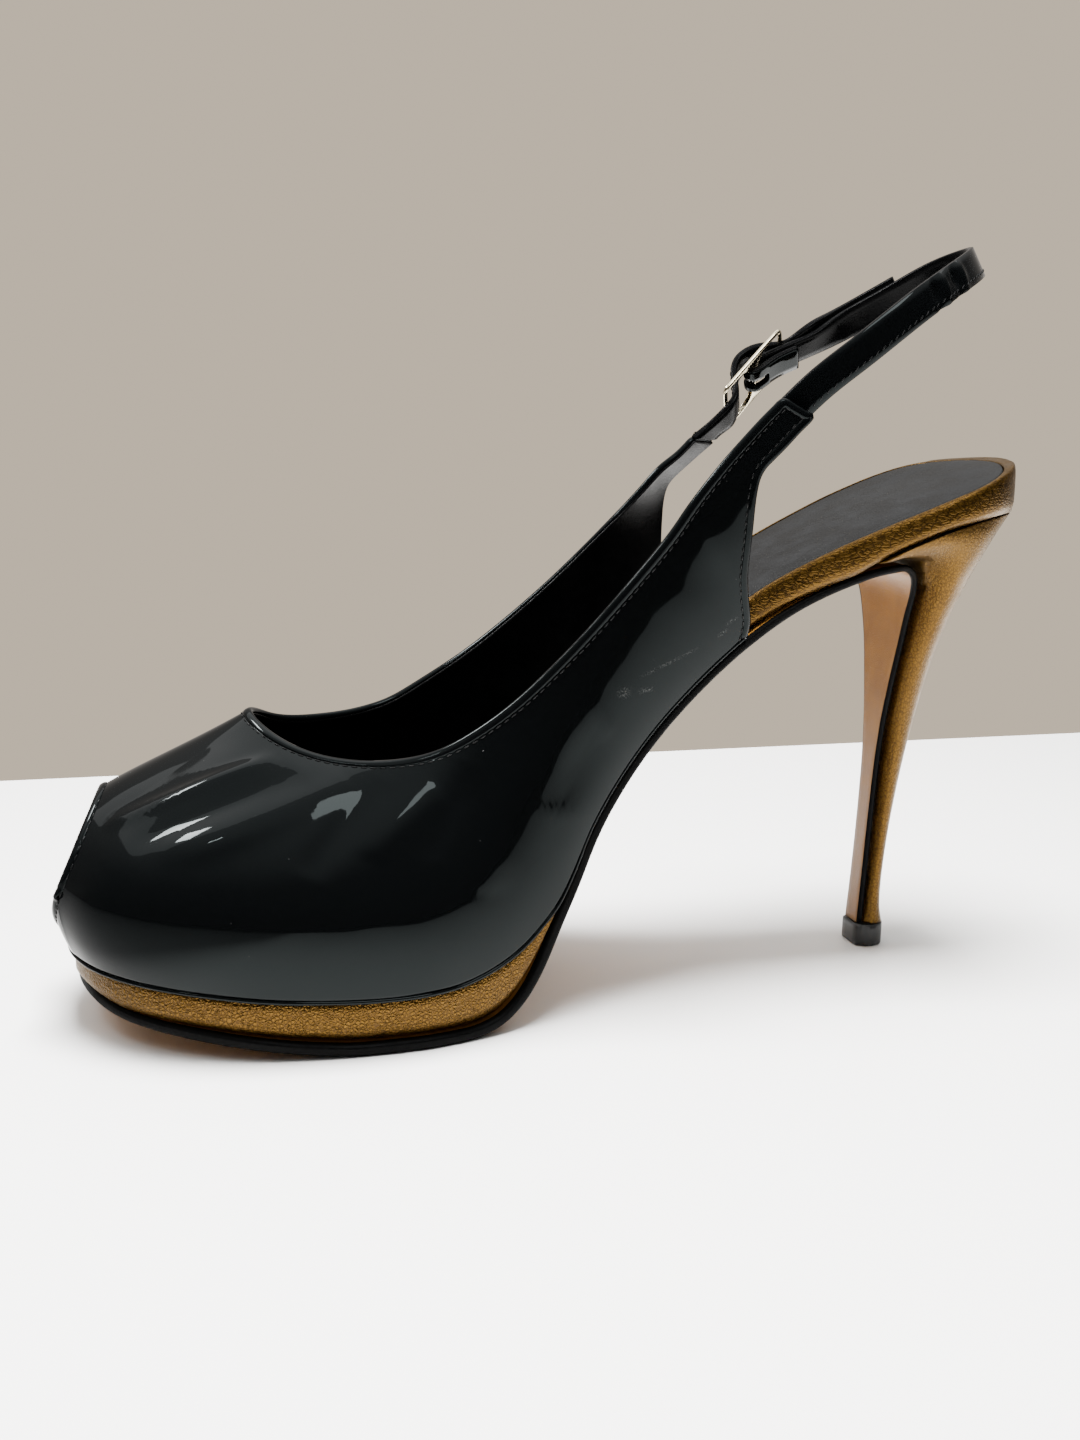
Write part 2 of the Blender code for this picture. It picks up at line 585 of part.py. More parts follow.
def rib_points(place, up):
    """Points of the upper's outer face. place: rib number, below 0 on the outer side; up: 0 to 1."""
    numbers = np.arange(-len(RIBS) + 1, len(RIBS))
    outer = numbers < 0
    side = np.where(outer, 1.0, -1.0)
    rib = dict(zip(RIB_COLUMNS, np.array(RIBS)[np.abs(numbers)].T))
    top = np.stack((rib["top_x"], side * np.where(outer, rib["top_out"], rib["top_in"]),
                    np.where(outer, rib["top_z_out"], rib["top_z_in"])), axis=1)
    facing = np.radians(rib["facing"])
    out = np.stack((-np.cos(facing), side * np.sin(facing), 0 * facing), axis=1)
    handles = (rib["rise_low"], rib["out_low"], rib["rise_high"], rib["out_high"])
    smooth = natural_spline(numbers, np.column_stack((rib["foot_x"], top, out, *handles)), place)
    foot_x = np.maximum(smooth[:, 0], TOE_START - UPPER_OVERHANG)
    top, out = smooth[:, 1:4], smooth[:, 4:7]
    rise_low, out_low, rise_high, out_high = smooth[:, 7:11].T[:, :, None]
    lift = np.where(outer, rib["lift_out"], rib["lift_in"])
    flare, lift = steady_curve(numbers, np.column_stack((rib["flare"], lift)), place).T
    half_in, half_out = sole_half_widths(foot_x, UPPER_OVERHANG)
    foot_y = np.where(place < 0, half_out + flare, -half_in - flare)
    foot_y = np.where(np.abs(place) < 1e-6, 0.0, foot_y)
    foot = np.stack((foot_x, foot_y, upper_seat(foot_x) + lift), axis=1)
    chord = top - foot
    low = foot + chord * rise_low + out * out_low
    high = foot + chord * rise_high + out * out_high
    t = up[:, None]
    return (1 - t)**3 * foot + 3 * t * (1 - t)**2 * low + 3 * t**2 * (1 - t) * high + t**3 * top


def peep_overhang(place, up):
    """How far a rib stands in front of the slanting plane that cuts the toe open, below 0 in front."""
    x, y, z = turn_toe(rib_points(np.full(len(up), place), up)).T
    slant = (PEEP_TOP[0] - PEEP_FOOT[0]) / (PEEP_TOP[1] - PEEP_FOOT[1])
    return x - PEEP_TOP[0] - (z - PEEP_TOP[1]) * slant - y * PEEP_TURN, z


def peep_edges(side):
    """Rib numbers on one side of the peep opening, with where each rib stops below and starts above it."""
    up = np.linspace(0.02, 0.95, 400)
    reach, shut = 0.3, 3.0
    while shut - reach > 1e-4:
        middle = (reach + shut) / 2
        if peep_overhang(side * middle, up)[0].min() < 0:
            reach = middle
        else:
            shut = middle
    corner = up[np.argmin(peep_overhang(side * reach, up)[0])]
    edges = [(side * reach, corner, corner)]
    for turn in np.linspace(np.pi / 2, 0, PEEP_COLUMNS)[1:]:
        place = side * reach * np.sin(turn)
        overhang, height = peep_overhang(place, up)
        sill = up[np.searchsorted(height, PEEP_SILL)]
        low = corner - (corner - sill) * np.cos(turn)
        edges.append((place, low, up[overhang < 0].max()))
    return edges


def make_upper():
    """Vamp, quarters and tabs as one sheet, open at the toe, then thickened inwards."""
    outer_edges, inner_edges = peep_edges(-1), peep_edges(1)
    columns = outer_edges + inner_edges[-2::-1]
    for side, edges in ((1, inner_edges), (-1, outer_edges)):
        reach, split, _ = edges[0]
        beyond = np.concatenate((np.linspace(abs(reach), CORNER_RIB, QUARTER_COLUMNS)[1:],
                                 np.linspace(CORNER_RIB, len(RIBS) - 1, TAB_COLUMNS)[1:]))
        solid = [(side * place, split, split) for place in beyond]
        columns = columns + solid if side > 0 else solid[::-1] + columns
    lower_cells, upper_cells = 3, 9
    points = []
    lower, upper = [], []
    for place, low_end, high_start in columns:
        is_open = high_start > low_end
        heights = np.linspace(0, low_end, lower_cells + 1)
        lower.append(list(range(len(points), len(points) + len(heights))))
        points.extend(rib_points(np.full(len(heights), place), heights))
        heights = np.linspace(high_start, 1, upper_cells + 1)
        column = rib_points(np.full(len(heights), place), heights)
        first = len(points) if is_open else lower[-1][-1]
        points.extend(column if is_open else column[1:])
        upper.append([first, *range(len(points) - upper_cells, len(points))])
    faces = []
    for strips in (lower, upper):
        for left, right in zip(strips[:-1], strips[1:]):
            for cell in range(len(left) - 1):
                faces.append((left[cell], left[cell + 1], right[cell + 1], right[cell]))
    obj = add_object("upper", points, faces)
    wall = obj.modifiers.new("wall", "SOLIDIFY")
    wall.thickness = UPPER_WALL * MM
    wall.offset = -1
    wall.use_even_offset = True
    paint(obj, PATENT_BLACK, 0.12)


def band(name, middles, ups, width, thick):
    """Flat strap along a line of middle points, its sections cut along `ups`."""
    ahead = unit(np.gradient(middles, axis=0))
    ups = unit(ups)
    faces_out = np.cross(ahead, ups)
    ups = ups / np.linalg.norm(faces_out, axis=1, keepdims=True)
    faces_out = unit(faces_out)
    corners = ((-0.5, -0.5), (0.5, -0.5), (0.5, 0.5), (-0.5, 0.5))
    rings = np.stack([middles + ups * width * across + faces_out * thick * through
                      for across, through in corners], axis=1)
    return loft(name, rings)


def buckle_axes():
    """Unit vectors of the buckle: along its long side, across the strap, and out from the foot."""
    along = unit(BUCKLE_ALONG)
    across = unit(BUCKLE_ACROSS - along * (BUCKLE_ACROSS @ along))
    return along, across, np.cross(across, along)


def buckle_point(along, out, across=0.0):
    """Point in the buckle's own frame, from the middle of its bar."""
    way_along, way_across, way_out = buckle_axes()
    return BUCKLE_MIDDLE + way_along * along + way_out * out + way_across * across


def strap_line(rows, count):
    """Smooth line through strap rows: middle points and upper-edge directions."""
    rows = np.asarray(rows)
    lengths = np.linalg.norm(np.diff(rows[:, :3], axis=0), axis=1)
    keys = np.concatenate(((0,), np.cumsum(lengths)))
    line = natural_spline(keys, rows, np.linspace(0, keys[-1], count))
    return line[:, :3], line[:, 3:]


def fold_points():
    """The fold round the bar: its main layer, its turn round the bar and its end inside the main layer."""
    radius = BUCKLE_WIRE + GAP + STRAP_THICK / 2
    tilt = np.radians(STRAP_TILT)
    back = np.array((np.cos(tilt), -np.sin(tilt)))
    inward = np.array((-np.sin(tilt), -np.cos(tilt)))
    main = [back * reach - inward * radius for reach in (16.0, 12.0, 8.0, 4.0)]
    turns = np.linspace(np.pi / 2 - tilt, 3 * np.pi / 2 - tilt, 9)
    turn = [radius * np.array((np.cos(angle), np.sin(angle))) for angle in turns]
    layer = STRAP_THICK + GAP
    end = [back * reach + inward * (apart - radius) for reach, apart in
           ((1.5, 2 * radius - 0.2), (3.5, layer + 0.7), (6.0, layer + 0.1), (9.0, layer), (11.5, layer))]
    return main, turn, end


def back_strap_line():
    """Middle line of the sling strap from the inner tab to just short of its turn round the bar."""
    across = buckle_axes()[1]
    rows = list(pick(BACK_STRAP, STRAP_COLUMNS, "x", "y", "z", "up_x", "up_y", "up_z"))
    for along, out in fold_points()[0]:
        rows.append((*buckle_point(along, out, STRAP_SHIFT), *across))
    return strap_line(rows, BACK_STRAP_SECTIONS)


def cut_slot(obj, alongs, outs):
    """Take the prong's slot out of a strap, between two places along the buckle and out from its bar."""
    half = SLOT_HALF_WIDTH
    corners = [buckle_point(along, out, across) for along in alongs
               for out, across in ((outs[0], -half), (outs[1], -half), (outs[1], half), (outs[0], half))]
    cutter = loft(obj.name + "_slot", np.reshape(corners, (2, 4, 3)))
    cutter.hide_render = True
    cutter.display_type = "WIRE"
    slot = obj.modifiers.new("slot", "BOOLEAN")
    slot.operation = "DIFFERENCE"
    slot.object = cutter


def make_back_strap():
    """Sling strap: sewn under the inner tab, round the heel, folded round the buckle's bar."""
    middles, ups = back_strap_line()
    _, turn, end = fold_points()
    folded = [buckle_point(along, out, STRAP_SHIFT) for along, out in turn + end]
    middles = np.concatenate((middles, folded))
    ups = np.concatenate((ups, np.tile(buckle_axes()[1], (len(folded), 1))))
    obj = band("back_strap", middles, ups, STRAP_WIDTH, STRAP_THICK)
    cut_slot(obj, FOLD_SLOT_ALONG, FOLD_SLOT_OUT)
    paint(obj, PATENT_BLACK, 0.12)


def make_buckle_strap():
    """Outer strap: from the outer tab under the buckle's front bar, over its middle bar, to a free tip."""
    foot, top = rib_points(np.full(2, 1.0 - len(RIBS)), np.array((0.0, 1.0)))
    before = rib_points(np.full(1, 1.5 - len(RIBS)), np.array((0.5,)))[0]
    tab_up = unit(top - foot)
    tab_middle = (foot + top) / 2
    tab_ahead = unit(tab_middle - before)
    tab_middle = tab_middle + np.cross(tab_ahead, tab_up) * UPPER_WALL / 2
    across = buckle_axes()[1]
    rows = [(*(tab_middle + tab_ahead * (GAP + 0.1)), *tab_up),
            (*(tab_middle + tab_ahead * 2.5), *(tab_up + 0.2 * across))]
    rows += [(*buckle_point(along, out), *across)
             for along, out in pick(LOOP, BUCKLE_PATH_COLUMNS, "along", "out")]
    middles, ups = back_strap_line()
    ahead = unit(np.gradient(middles, axis=0))
    outward = unit(np.cross(ahead, ups))
    for x, raised in pick(FREE_END, FREE_END_COLUMNS, "x", "raised"):
        i = np.argmin(np.where(middles[:, 1] > 0, np.abs(middles[:, 0] - x), np.inf))
        layer = outward[i] * (STRAP_THICK + 2 * GAP)
        rows.append((*(middles[i] + layer + unit(ups[i]) * raised), *ups[i]))
    obj = band("buckle_strap", *strap_line(rows, BUCKLE_STRAP_SECTIONS), STRAP_WIDTH, STRAP_THICK)
    cut_slot(obj, STRAP_HOLE_ALONG, STRAP_HOLE_OUT)
    paint(obj, PATENT_BLACK, 0.12)


def tube(name, path, closed):
    """Round metal wire along points that lie in the buckle's plane or across it."""
    path = np.asarray(path)
    if closed:
        ahead = unit(np.roll(path, -1, axis=0) - np.roll(path, 1, axis=0))
    else:
        ahead = unit(np.gradient(path, axis=0))
    guide = buckle_axes()[2]
    side = unit(np.cross(ahead, guide))
    other = np.cross(side, ahead)
    turns = np.linspace(0, 2 * np.pi, 9)[:-1]
    rings = np.stack([path + BUCKLE_WIRE * (side * np.cos(turn) + other * np.sin(turn))
                      for turn in turns], axis=1)
    return loft(name, rings, closed)


def make_buckle():
    """Wire frame with a middle bar, and the prong that goes through the strap on to the rear bar."""
    side_long, side_wide = BUCKLE_LENGTH / 2 - BUCKLE_CORNER, BUCKLE_WIDTH / 2 - BUCKLE_CORNER
    path = []
    for quarter, (sign_long, sign_wide) in enumerate(((1, 1), (-1, 1), (-1, -1), (1, -1))):
        for turn in np.linspace(0, np.pi / 2, 4) + quarter * np.pi / 2:
            path.append(buckle_point(sign_long * side_long + BUCKLE_CORNER * np.cos(turn), 0.0,
                                     sign_wide * side_wide + BUCKLE_CORNER * np.sin(turn)))
    frame = tube("buckle_frame", path, True)
    bar_ends = np.linspace(-0.5, 0.5, 5) * BUCKLE_WIDTH
    bar = tube("buckle_bar", [buckle_point(0.0, 0.0, across) for across in bar_ends], False)
    bar.hide_render = True
    bar.display_type = "WIRE"
    joint = frame.modifiers.new("bar", "BOOLEAN")
    joint.operation = "UNION"
    joint.object = bar
    paint(frame, PALE_GOLD, 0.2, 1.0)
    prong_path = [buckle_point(along, out) for along, out in pick(PRONG, BUCKLE_PATH_COLUMNS, "along", "out")]
    prong = tube("buckle_prong", prong_path, False)
    paint(prong, PALE_GOLD, 0.2, 1.0)


def clear_objects():
    for obj in list(bpy.data.objects):
        bpy.data.objects.remove(obj, do_unlink=True)


clear_objects()
make_outsole()
make_platform()
make_insole_board()
make_sock_lining()
make_heel()
make_heel_tip()
make_upper()
make_back_strap()
make_buckle_strap()
make_buckle()
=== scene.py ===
"""Platform slingback pump with a peep toe, right shoe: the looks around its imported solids.

Metres, +Z up, the toe towards -X and the inner side of the foot towards -Y, as in the solids.
"""

import json
import math

import bmesh
import bpy
import numpy as np
from mathutils import Matrix, Vector
from mathutils.bvhtree import BVHTree

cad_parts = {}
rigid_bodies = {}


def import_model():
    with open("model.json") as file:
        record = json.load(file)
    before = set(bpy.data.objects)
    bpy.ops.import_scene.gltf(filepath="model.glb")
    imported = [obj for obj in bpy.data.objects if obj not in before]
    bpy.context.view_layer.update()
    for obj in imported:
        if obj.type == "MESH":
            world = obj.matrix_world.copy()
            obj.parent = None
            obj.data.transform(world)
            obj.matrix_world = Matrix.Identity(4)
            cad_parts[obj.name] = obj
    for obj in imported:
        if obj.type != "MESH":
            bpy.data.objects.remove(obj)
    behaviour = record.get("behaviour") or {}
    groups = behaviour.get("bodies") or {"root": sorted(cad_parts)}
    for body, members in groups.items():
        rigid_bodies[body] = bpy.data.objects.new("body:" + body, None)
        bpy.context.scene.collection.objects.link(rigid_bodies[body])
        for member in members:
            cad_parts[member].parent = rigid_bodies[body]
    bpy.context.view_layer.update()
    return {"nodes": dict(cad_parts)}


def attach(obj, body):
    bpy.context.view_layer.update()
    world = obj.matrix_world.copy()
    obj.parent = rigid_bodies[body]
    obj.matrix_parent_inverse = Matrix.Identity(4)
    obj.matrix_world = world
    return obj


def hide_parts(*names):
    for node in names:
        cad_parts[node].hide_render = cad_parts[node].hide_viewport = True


for left_over in list(bpy.data.objects):
    bpy.data.objects.remove(left_over)
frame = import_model()
MM = 0.001


# Camera: held at the height of the buckle on the inner side of the foot, a little turned to the heel
# and tipped down, so that the far strap and the sock show behind the quarter.
PHOTO_LONG_SIDE = 1440
FOCAL_PIXELS = 1501.6
SENSOR = 36.0
CAMERA_PLACE = Vector((-95.65, -305.9, 122.0)) * MM
CAMERA_YAW = math.radians(16.93)
CAMERA_PITCH = math.radians(11.6)
CAMERA_ROLL = math.radians(1.36)
CLIP_START = 0.01
forward = Vector((math.sin(CAMERA_YAW) * math.cos(CAMERA_PITCH),
                  math.cos(CAMERA_YAW) * math.cos(CAMERA_PITCH),
                  -math.sin(CAMERA_PITCH)))
level_right = Vector((math.cos(CAMERA_YAW), -math.sin(CAMERA_YAW), 0.0))
level_up = level_right.cross(forward)
right = math.cos(CAMERA_ROLL) * level_right + math.sin(CAMERA_ROLL) * level_up
up = math.cos(CAMERA_ROLL) * level_up - math.sin(CAMERA_ROLL) * level_right
camera_data = bpy.data.cameras.new("camera")
camera_data.sensor_width = SENSOR
camera_data.lens = FOCAL_PIXELS / PHOTO_LONG_SIDE * SENSOR
camera_data.clip_start = CLIP_START
camera = bpy.data.objects.new("camera", camera_data)
camera.matrix_world = Matrix.Translation(CAMERA_PLACE) @ Matrix((right, up, -forward)).transposed().to_4x4()
bpy.context.scene.collection.objects.link(camera)
bpy.context.scene.camera = camera


# Outsole: one bent piece of tan leather from the toe to the arch and on down the heel's breast. Its
# cut edge is inked black, and it is cemented under the platform, the arch and the heel's breast.
MERGE_DISTANCE = 0.01 * MM
QUAD_FACE_ANGLE = 1.2
QUAD_SHAPE_ANGLE = 3.1
QUAD_TOPOLOGY = 2.0
SUBDIVISIONS = 2
TOE_END_DEPTH = 4.0 * MM
TOE_END_TILT = -0.7
EVEN_GRAIN = (1.0, 1.0, 1.0)
GRAIN_WANDER = (0.7 * MM, 0.7 * MM, 0.7 * MM)
WANDER_SCALE = 0.9
WANDER_SHARE = 0.5
GRAIN_DOME = 0.32
GRAIN_VALLEY = 0.12
SPECK_RIM = (0.035, 0.015)
DUSTY_PATCHES = (0.5, 0.62)
HAZE_SPAN = (0.42, 0.75)


def select_only(piece):
    bpy.ops.object.select_all(action="DESELECT")
    piece.select_set(True)
    bpy.context.view_layer.objects.active = piece


def copy_of(node, name):
    """New piece in the solid's own shape, its triangles merged and joined back into quads."""
    piece = bpy.data.objects.new(name, frame["nodes"][node].data.copy())
    bpy.context.scene.collection.objects.link(piece)
    piece.data.materials.clear()
    select_only(piece)
    bpy.ops.mesh.customdata_custom_splitnormals_clear()
    bpy.ops.object.mode_set(mode="EDIT")
    bpy.ops.mesh.select_all(action="SELECT")
    bpy.ops.mesh.remove_doubles(threshold=MERGE_DISTANCE)
    bpy.ops.mesh.tris_convert_to_quads(face_threshold=QUAD_FACE_ANGLE, shape_threshold=QUAD_SHAPE_ANGLE,
                                       topology_influence=QUAD_TOPOLOGY)
    bpy.ops.object.mode_set(mode="OBJECT")
    return piece


def soften(piece, sharper_than, crease):
    """Subdivide a piece, with its edges sharper than an angle kept narrow by a crease."""
    select_only(piece)
    bpy.ops.object.mode_set(mode="EDIT")
    bpy.ops.mesh.select_all(action="DESELECT")
    bpy.ops.mesh.select_mode(type="EDGE")
    bpy.ops.mesh.edges_select_sharp(sharpness=math.radians(sharper_than))
    bpy.ops.transform.edge_crease(value=crease)
    bpy.ops.mesh.select_mode(type="FACE")
    bpy.ops.object.mode_set(mode="OBJECT")
    rounding = piece.modifiers.new("rounding", "SUBSURF")
    rounding.levels = SUBDIVISIONS
    rounding.render_levels = SUBDIVISIONS
    bpy.ops.object.modifier_apply(modifier="rounding")
    bpy.ops.object.shade_smooth()


def new_material(name):
    """Empty material with its Principled BSDF."""
    material = bpy.data.materials.new(name)
    material.use_nodes = True
    return material, material.node_tree.nodes["Principled BSDF"]


def add_node(tree, kind, **values):
    """Node of a kind, with its properties and its inputs set by name."""
    node = tree.nodes.new("ShaderNode" + kind)
    for key, value in values.items():
        if key in node.inputs:
            node.inputs[key].default_value = value
        else:
            setattr(node, key, value)
    return node


def feed(tree, value, socket):
    """Set a socket to a plain value, or link it to another socket."""
    if isinstance(value, bpy.types.NodeSocket):
        tree.links.new(value, socket)
    else:
        socket.default_value = value


def combine(tree, operation, *values, kind="Math"):
    """Node of an operation on plain values and sockets, in the order of its inputs."""
    node = add_node(tree, kind, operation=operation)
    for value, socket in zip(values, node.inputs):
        feed(tree, value, socket)
    return node.outputs[0]


def map_range(tree, value, low, high, to_low=0.0, to_high=1.0, smooth=False):
    """Value carried from one range to another."""
    node = add_node(tree, "MapRange", interpolation_type="SMOOTHSTEP" if smooth else "LINEAR")
    names = ("Value", "From Min", "From Max", "To Min", "To Max")
    for name, given in zip(names, (value, low, high, to_low, to_high)):
        feed(tree, given, node.inputs[name])
    return node.outputs["Result"]


def ramp(tree, value, stops):
    """Colour that a value picks from rising (place, colour) stops."""
    node = tree.nodes.new("ShaderNodeValToRGB")
    for stop in stops[2:]:
        node.color_ramp.elements.new(stop[0])
    for element, (place, colour) in zip(node.color_ramp.elements, stops):
        element.position = place
        element.color = (*colour, 1.0)
    tree.links.new(value, node.inputs["Fac"])
    return node.outputs["Color"]


def fine_noise(tree, scale, detail, roughness=0.5):
    """Noise fixed to the piece's own coordinates."""
    place = tree.nodes.new("ShaderNodeTexCoord")
    noise = add_node(tree, "TexNoise", Scale=scale, Detail=detail, Roughness=roughness)
    tree.links.new(place.outputs["Object"], noise.inputs["Vector"])
    return noise.outputs["Fac"]


def new_group(name, inputs, outputs):
    """Shader node group with named sockets: its tree, its two ends and the piece's own coordinates."""
    tree = bpy.data.node_groups.new(name, "ShaderNodeTree")
    for socket, kind in inputs:
        tree.interface.new_socket(socket, in_out="INPUT", socket_type="NodeSocket" + kind)
    for socket in outputs:
        tree.interface.new_socket(socket, in_out="OUTPUT", socket_type="NodeSocketFloat")
    inner = tree.nodes.new("NodeGroupInput")
    outer = tree.nodes.new("NodeGroupOutput")
    place = tree.nodes.new("ShaderNodeTexCoord")
    return tree, inner.outputs, outer.inputs, place.outputs["Object"]


def hide_grain_group():
    """Leather grain: cells of a given size with sunk valleys, drawn out along one way."""
    sockets = (("Cells per metre", "Float"), ("Stretch", "Vector"))
    tree, given, result, place = new_group("hide_grain", sockets, ("Height", "Valley"))
    stretched = combine(tree, "MULTIPLY", place, given["Stretch"], kind="VectorMath")
    wander = add_node(tree, "TexNoise", Detail=2.0, Roughness=0.5)
    tree.links.new(combine(tree, "MULTIPLY", given["Cells per metre"], WANDER_SCALE), wander.inputs["Scale"])
    tree.links.new(stretched, wander.inputs["Vector"])
    shifted = combine(tree, "MULTIPLY_ADD", wander.outputs["Color"], GRAIN_WANDER, stretched,
                      kind="VectorMath")
    cells = add_node(tree, "TexVoronoi", feature="DISTANCE_TO_EDGE")
    tree.links.new(shifted, cells.inputs["Vector"])
    tree.links.new(given["Cells per metre"], cells.inputs["Scale"])
    dome = map_range(tree, cells.outputs["Distance"], 0.0, GRAIN_DOME, smooth=True)
    height = combine(tree, "MULTIPLY_ADD", wander.outputs["Fac"], WANDER_SHARE, dome)
    tree.links.new(height, result["Height"])
    tree.links.new(map_range(tree, cells.outputs["Distance"], 0.0, GRAIN_VALLEY, 1.0, 0.0), result["Valley"])
    return tree


def wear_group():
    """Handling marks: fine dust specks, cloudy haze and a slow unevenness of the surface."""
    sockets = (("Specks per metre", "Float"),)
    tree, given, result, place = new_group("wear", sockets, ("Speck", "Haze", "Swell"))
    specks = add_node(tree, "TexVoronoi", feature="F1")
    tree.links.new(given["Specks per metre"], specks.inputs["Scale"])
    tree.links.new(place, specks.inputs["Vector"])
    dot = map_range(tree, specks.outputs["Distance"], *SPECK_RIM)
    patches = map_range(tree, fine_noise(tree, 60.0, 3.0), *DUSTY_PATCHES)
    tree.links.new(combine(tree, "MULTIPLY", dot, patches), result["Speck"])
    tree.links.new(map_range(tree, fine_noise(tree, 140.0, 6.0, 0.65), *HAZE_SPAN), result["Haze"])
    tree.links.new(fine_noise(tree, 38.0, 2.0, 0.4), result["Swell"])
    return tree


hide_grain = hide_grain_group()
wear = wear_group()


def place_group(tree, group, **values):
    """Use of a node group, with its inputs set by name: its outputs."""
    node = tree.nodes.new("ShaderNodeGroup")
    node.node_tree = group
    for key, value in values.items():
        node.inputs[key.replace("_", " ")].default_value = value
    return node.outputs


def bump(tree, shader, height, depth):
    """Feed a height to the shader's normal, with the depth of the relief in metres."""
    relief = add_node(tree, "Bump", Distance=depth)
    tree.links.new(height, relief.inputs["Height"])
    tree.links.new(relief.outputs["Normal"], shader.inputs["Normal"])


def gloss(tree, shader, haze, clean, dull):
    """Let haze carry the shader's roughness from a clean value to a dull one."""
    tree.links.new(map_range(tree, haze, 0.0, 1.0, clean, dull), shader.inputs["Roughness"])


def tan_leather():
    material, shader = new_material("tan_sole_leather")
    tree = material.node_tree
    marks = place_group(tree, wear, Specks_per_metre=600.0)
    grain = place_group(tree, hide_grain, Cells_per_metre=2600.0, Stretch=EVEN_GRAIN)
    tone = ramp(tree, marks["Haze"], ((0.0, (0.165, 0.072, 0.012)), (1.0, (0.215, 0.100, 0.019))))
    tree.links.new(tone, shader.inputs["Base Color"])
    gloss(tree, shader, marks["Haze"], 0.30, 0.46)
    shader.inputs["Specular IOR Level"].default_value = 0.2
    bump(tree, shader, grain["Height"], 0.02 * MM)
    return material


def edge_ink():
    material, shader = new_material("black_edge_ink")
    tree = material.node_tree
    marks = place_group(tree, wear, Specks_per_metre=1500.0)
    tone = ramp(tree, marks["Speck"], ((0.0, (0.0013, 0.0013, 0.0013)), (1.0, (0.03, 0.03, 0.03))))
    tree.links.new(tone, shader.inputs["Base Color"])
    gloss(tree, shader, marks["Haze"], 0.38, 0.6)
    shader.inputs["Specular IOR Level"].default_value = 0.04
    bump(tree, shader, fine_noise(tree, 2200.0, 3.0), 0.08 * MM)
    return material


sole = copy_of("outsole", "outsole_leather")
sole.data.materials.append(tan_leather())
sole.data.materials.append(edge_ink())
sole_front = min(vert.co.x for vert in sole.data.vertices)
for face in sole.data.polygons:
    sides = [sole.data.vertices[index].co.y for index in face.vertices]
    is_across = min(sides) < 0.0 < max(sides)
    is_toe_end = face.normal.x < TOE_END_TILT and face.center.x < sole_front + TOE_END_DEPTH
    face.material_index = 0 if is_across and not is_toe_end else 1
soften(sole, sharper_than=30, crease=0.7)
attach(sole, "root")
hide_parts("outsole")


# Platform: a core between the outsole and the insole, its side wrapped in bronze metallic leather
# whose top edge is gathered under the upper.
FOIL_DULL = (0.078, 0.038, 0.0050)
FOIL_BRIGHT = (0.118, 0.061, 0.0092)
# Painted shade: the foil in the grain's valleys is darkened towards this colour, by this share.
FOIL_VALLEY_SHADE = (0.018, 0.0085, 0.0022)
VALLEY_SHADE_SHARE = 0.85


def mix(tree, share, first, second):
    """Colour between a socket's own and a plain one, by a share."""
    node = add_node(tree, "MixRGB", Color2=(*second, 1.0))
    tree.links.new(share, node.inputs["Fac"])
    tree.links.new(first, node.inputs["Color1"])
    return node.outputs["Color"]


def bronze_leather(name, cells_per_metre, stretch, depth, painted_shading):
    """Metallic leather: foil on grain of a given size, stretch and depth, with painted shade in the grain's
    valleys and its whole colour scaled by a painted-shading factor.
    """
    material, shader = new_material(name)
    tree = material.node_tree
    grain = place_group(tree, hide_grain, Cells_per_metre=cells_per_metre, Stretch=stretch)
    marks = place_group(tree, wear, Specks_per_metre=500.0)
    # Painted shade: a factor below one darkens this copy of the foil so that it looks less lit.
    dull, bright = (tuple(painted_shading * part for part in colour) for colour in (FOIL_DULL, FOIL_BRIGHT))
    foil = ramp(tree, marks["Swell"], ((0.0, dull), (1.0, bright)))
    # Painted shade darkens the foil in the grain's valleys.
    valley_shaded = mix(tree, combine(tree, "MULTIPLY", grain["Valley"], VALLEY_SHADE_SHARE), foil, FOIL_VALLEY_SHADE)
    tree.links.new(valley_shaded, shader.inputs["Base Color"])
    shader.inputs["Metallic"].default_value = 0.85
    shader.inputs["Specular Tint"].default_value = (0.92, 0.87, 0.80, 1.0)
    gloss(tree, shader, marks["Haze"], 0.30, 0.44)
    bump(tree, shader, grain["Height"], depth)
    return material


platform = copy_of("platform", "platform_wrap")
platform.data.materials.append(bronze_leather("bronze_band", 1450.0, EVEN_GRAIN, 0.11 * MM, 1.0))
soften(platform, sharper_than=40, crease=0.6)
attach(platform, "root")
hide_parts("platform")


# Insole board with the heel seat: the same bronze leather, drawn over its rim and turned in under the
# sock. It is stretched along the foot, and its colour is painted darker than on the platform, as painted
# shade.
board = copy_of("insole_board", "heel_seat")
board.data.materials.append(bronze_leather("bronze_seat", 1500.0, (0.4, 1.0, 0.9), 0.04 * MM, 0.76))
soften(board, sharper_than=60, crease=0.7)
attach(board, "root")
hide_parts("insole_board")


# Sock: dark grey glazed leather, pasted on the insole board inside the bronze rim, with cloudy wear
# and a little pale dust.
def sock_leather():
    material, shader = new_material("sock_leather")
    tree = material.node_tree
    grain = place_group(tree, hide_grain, Cells_per_metre=2100.0, Stretch=EVEN_GRAIN)
    marks = place_group(tree, wear, Specks_per_metre=700.0)
    tone = ramp(tree, marks["Haze"], ((0.0, (0.0032, 0.0033, 0.0034)), (1.0, (0.0085, 0.0087, 0.009))))
    dusty = mix(tree, marks["Speck"], tone, (0.25, 0.25, 0.24))
    tree.links.new(dusty, shader.inputs["Base Color"])
    gloss(tree, shader, marks["Haze"], 0.42, 0.65)
    shader.inputs["Specular IOR Level"].default_value = 0.12
    bump(tree, shader, grain["Height"], 0.03 * MM)
    return material


sock = copy_of("sock_lining", "sock")
sock.data.materials.append(sock_leather())
soften(sock, sharper_than=40, crease=0.8)
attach(sock, "root")
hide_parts("sock_lining")


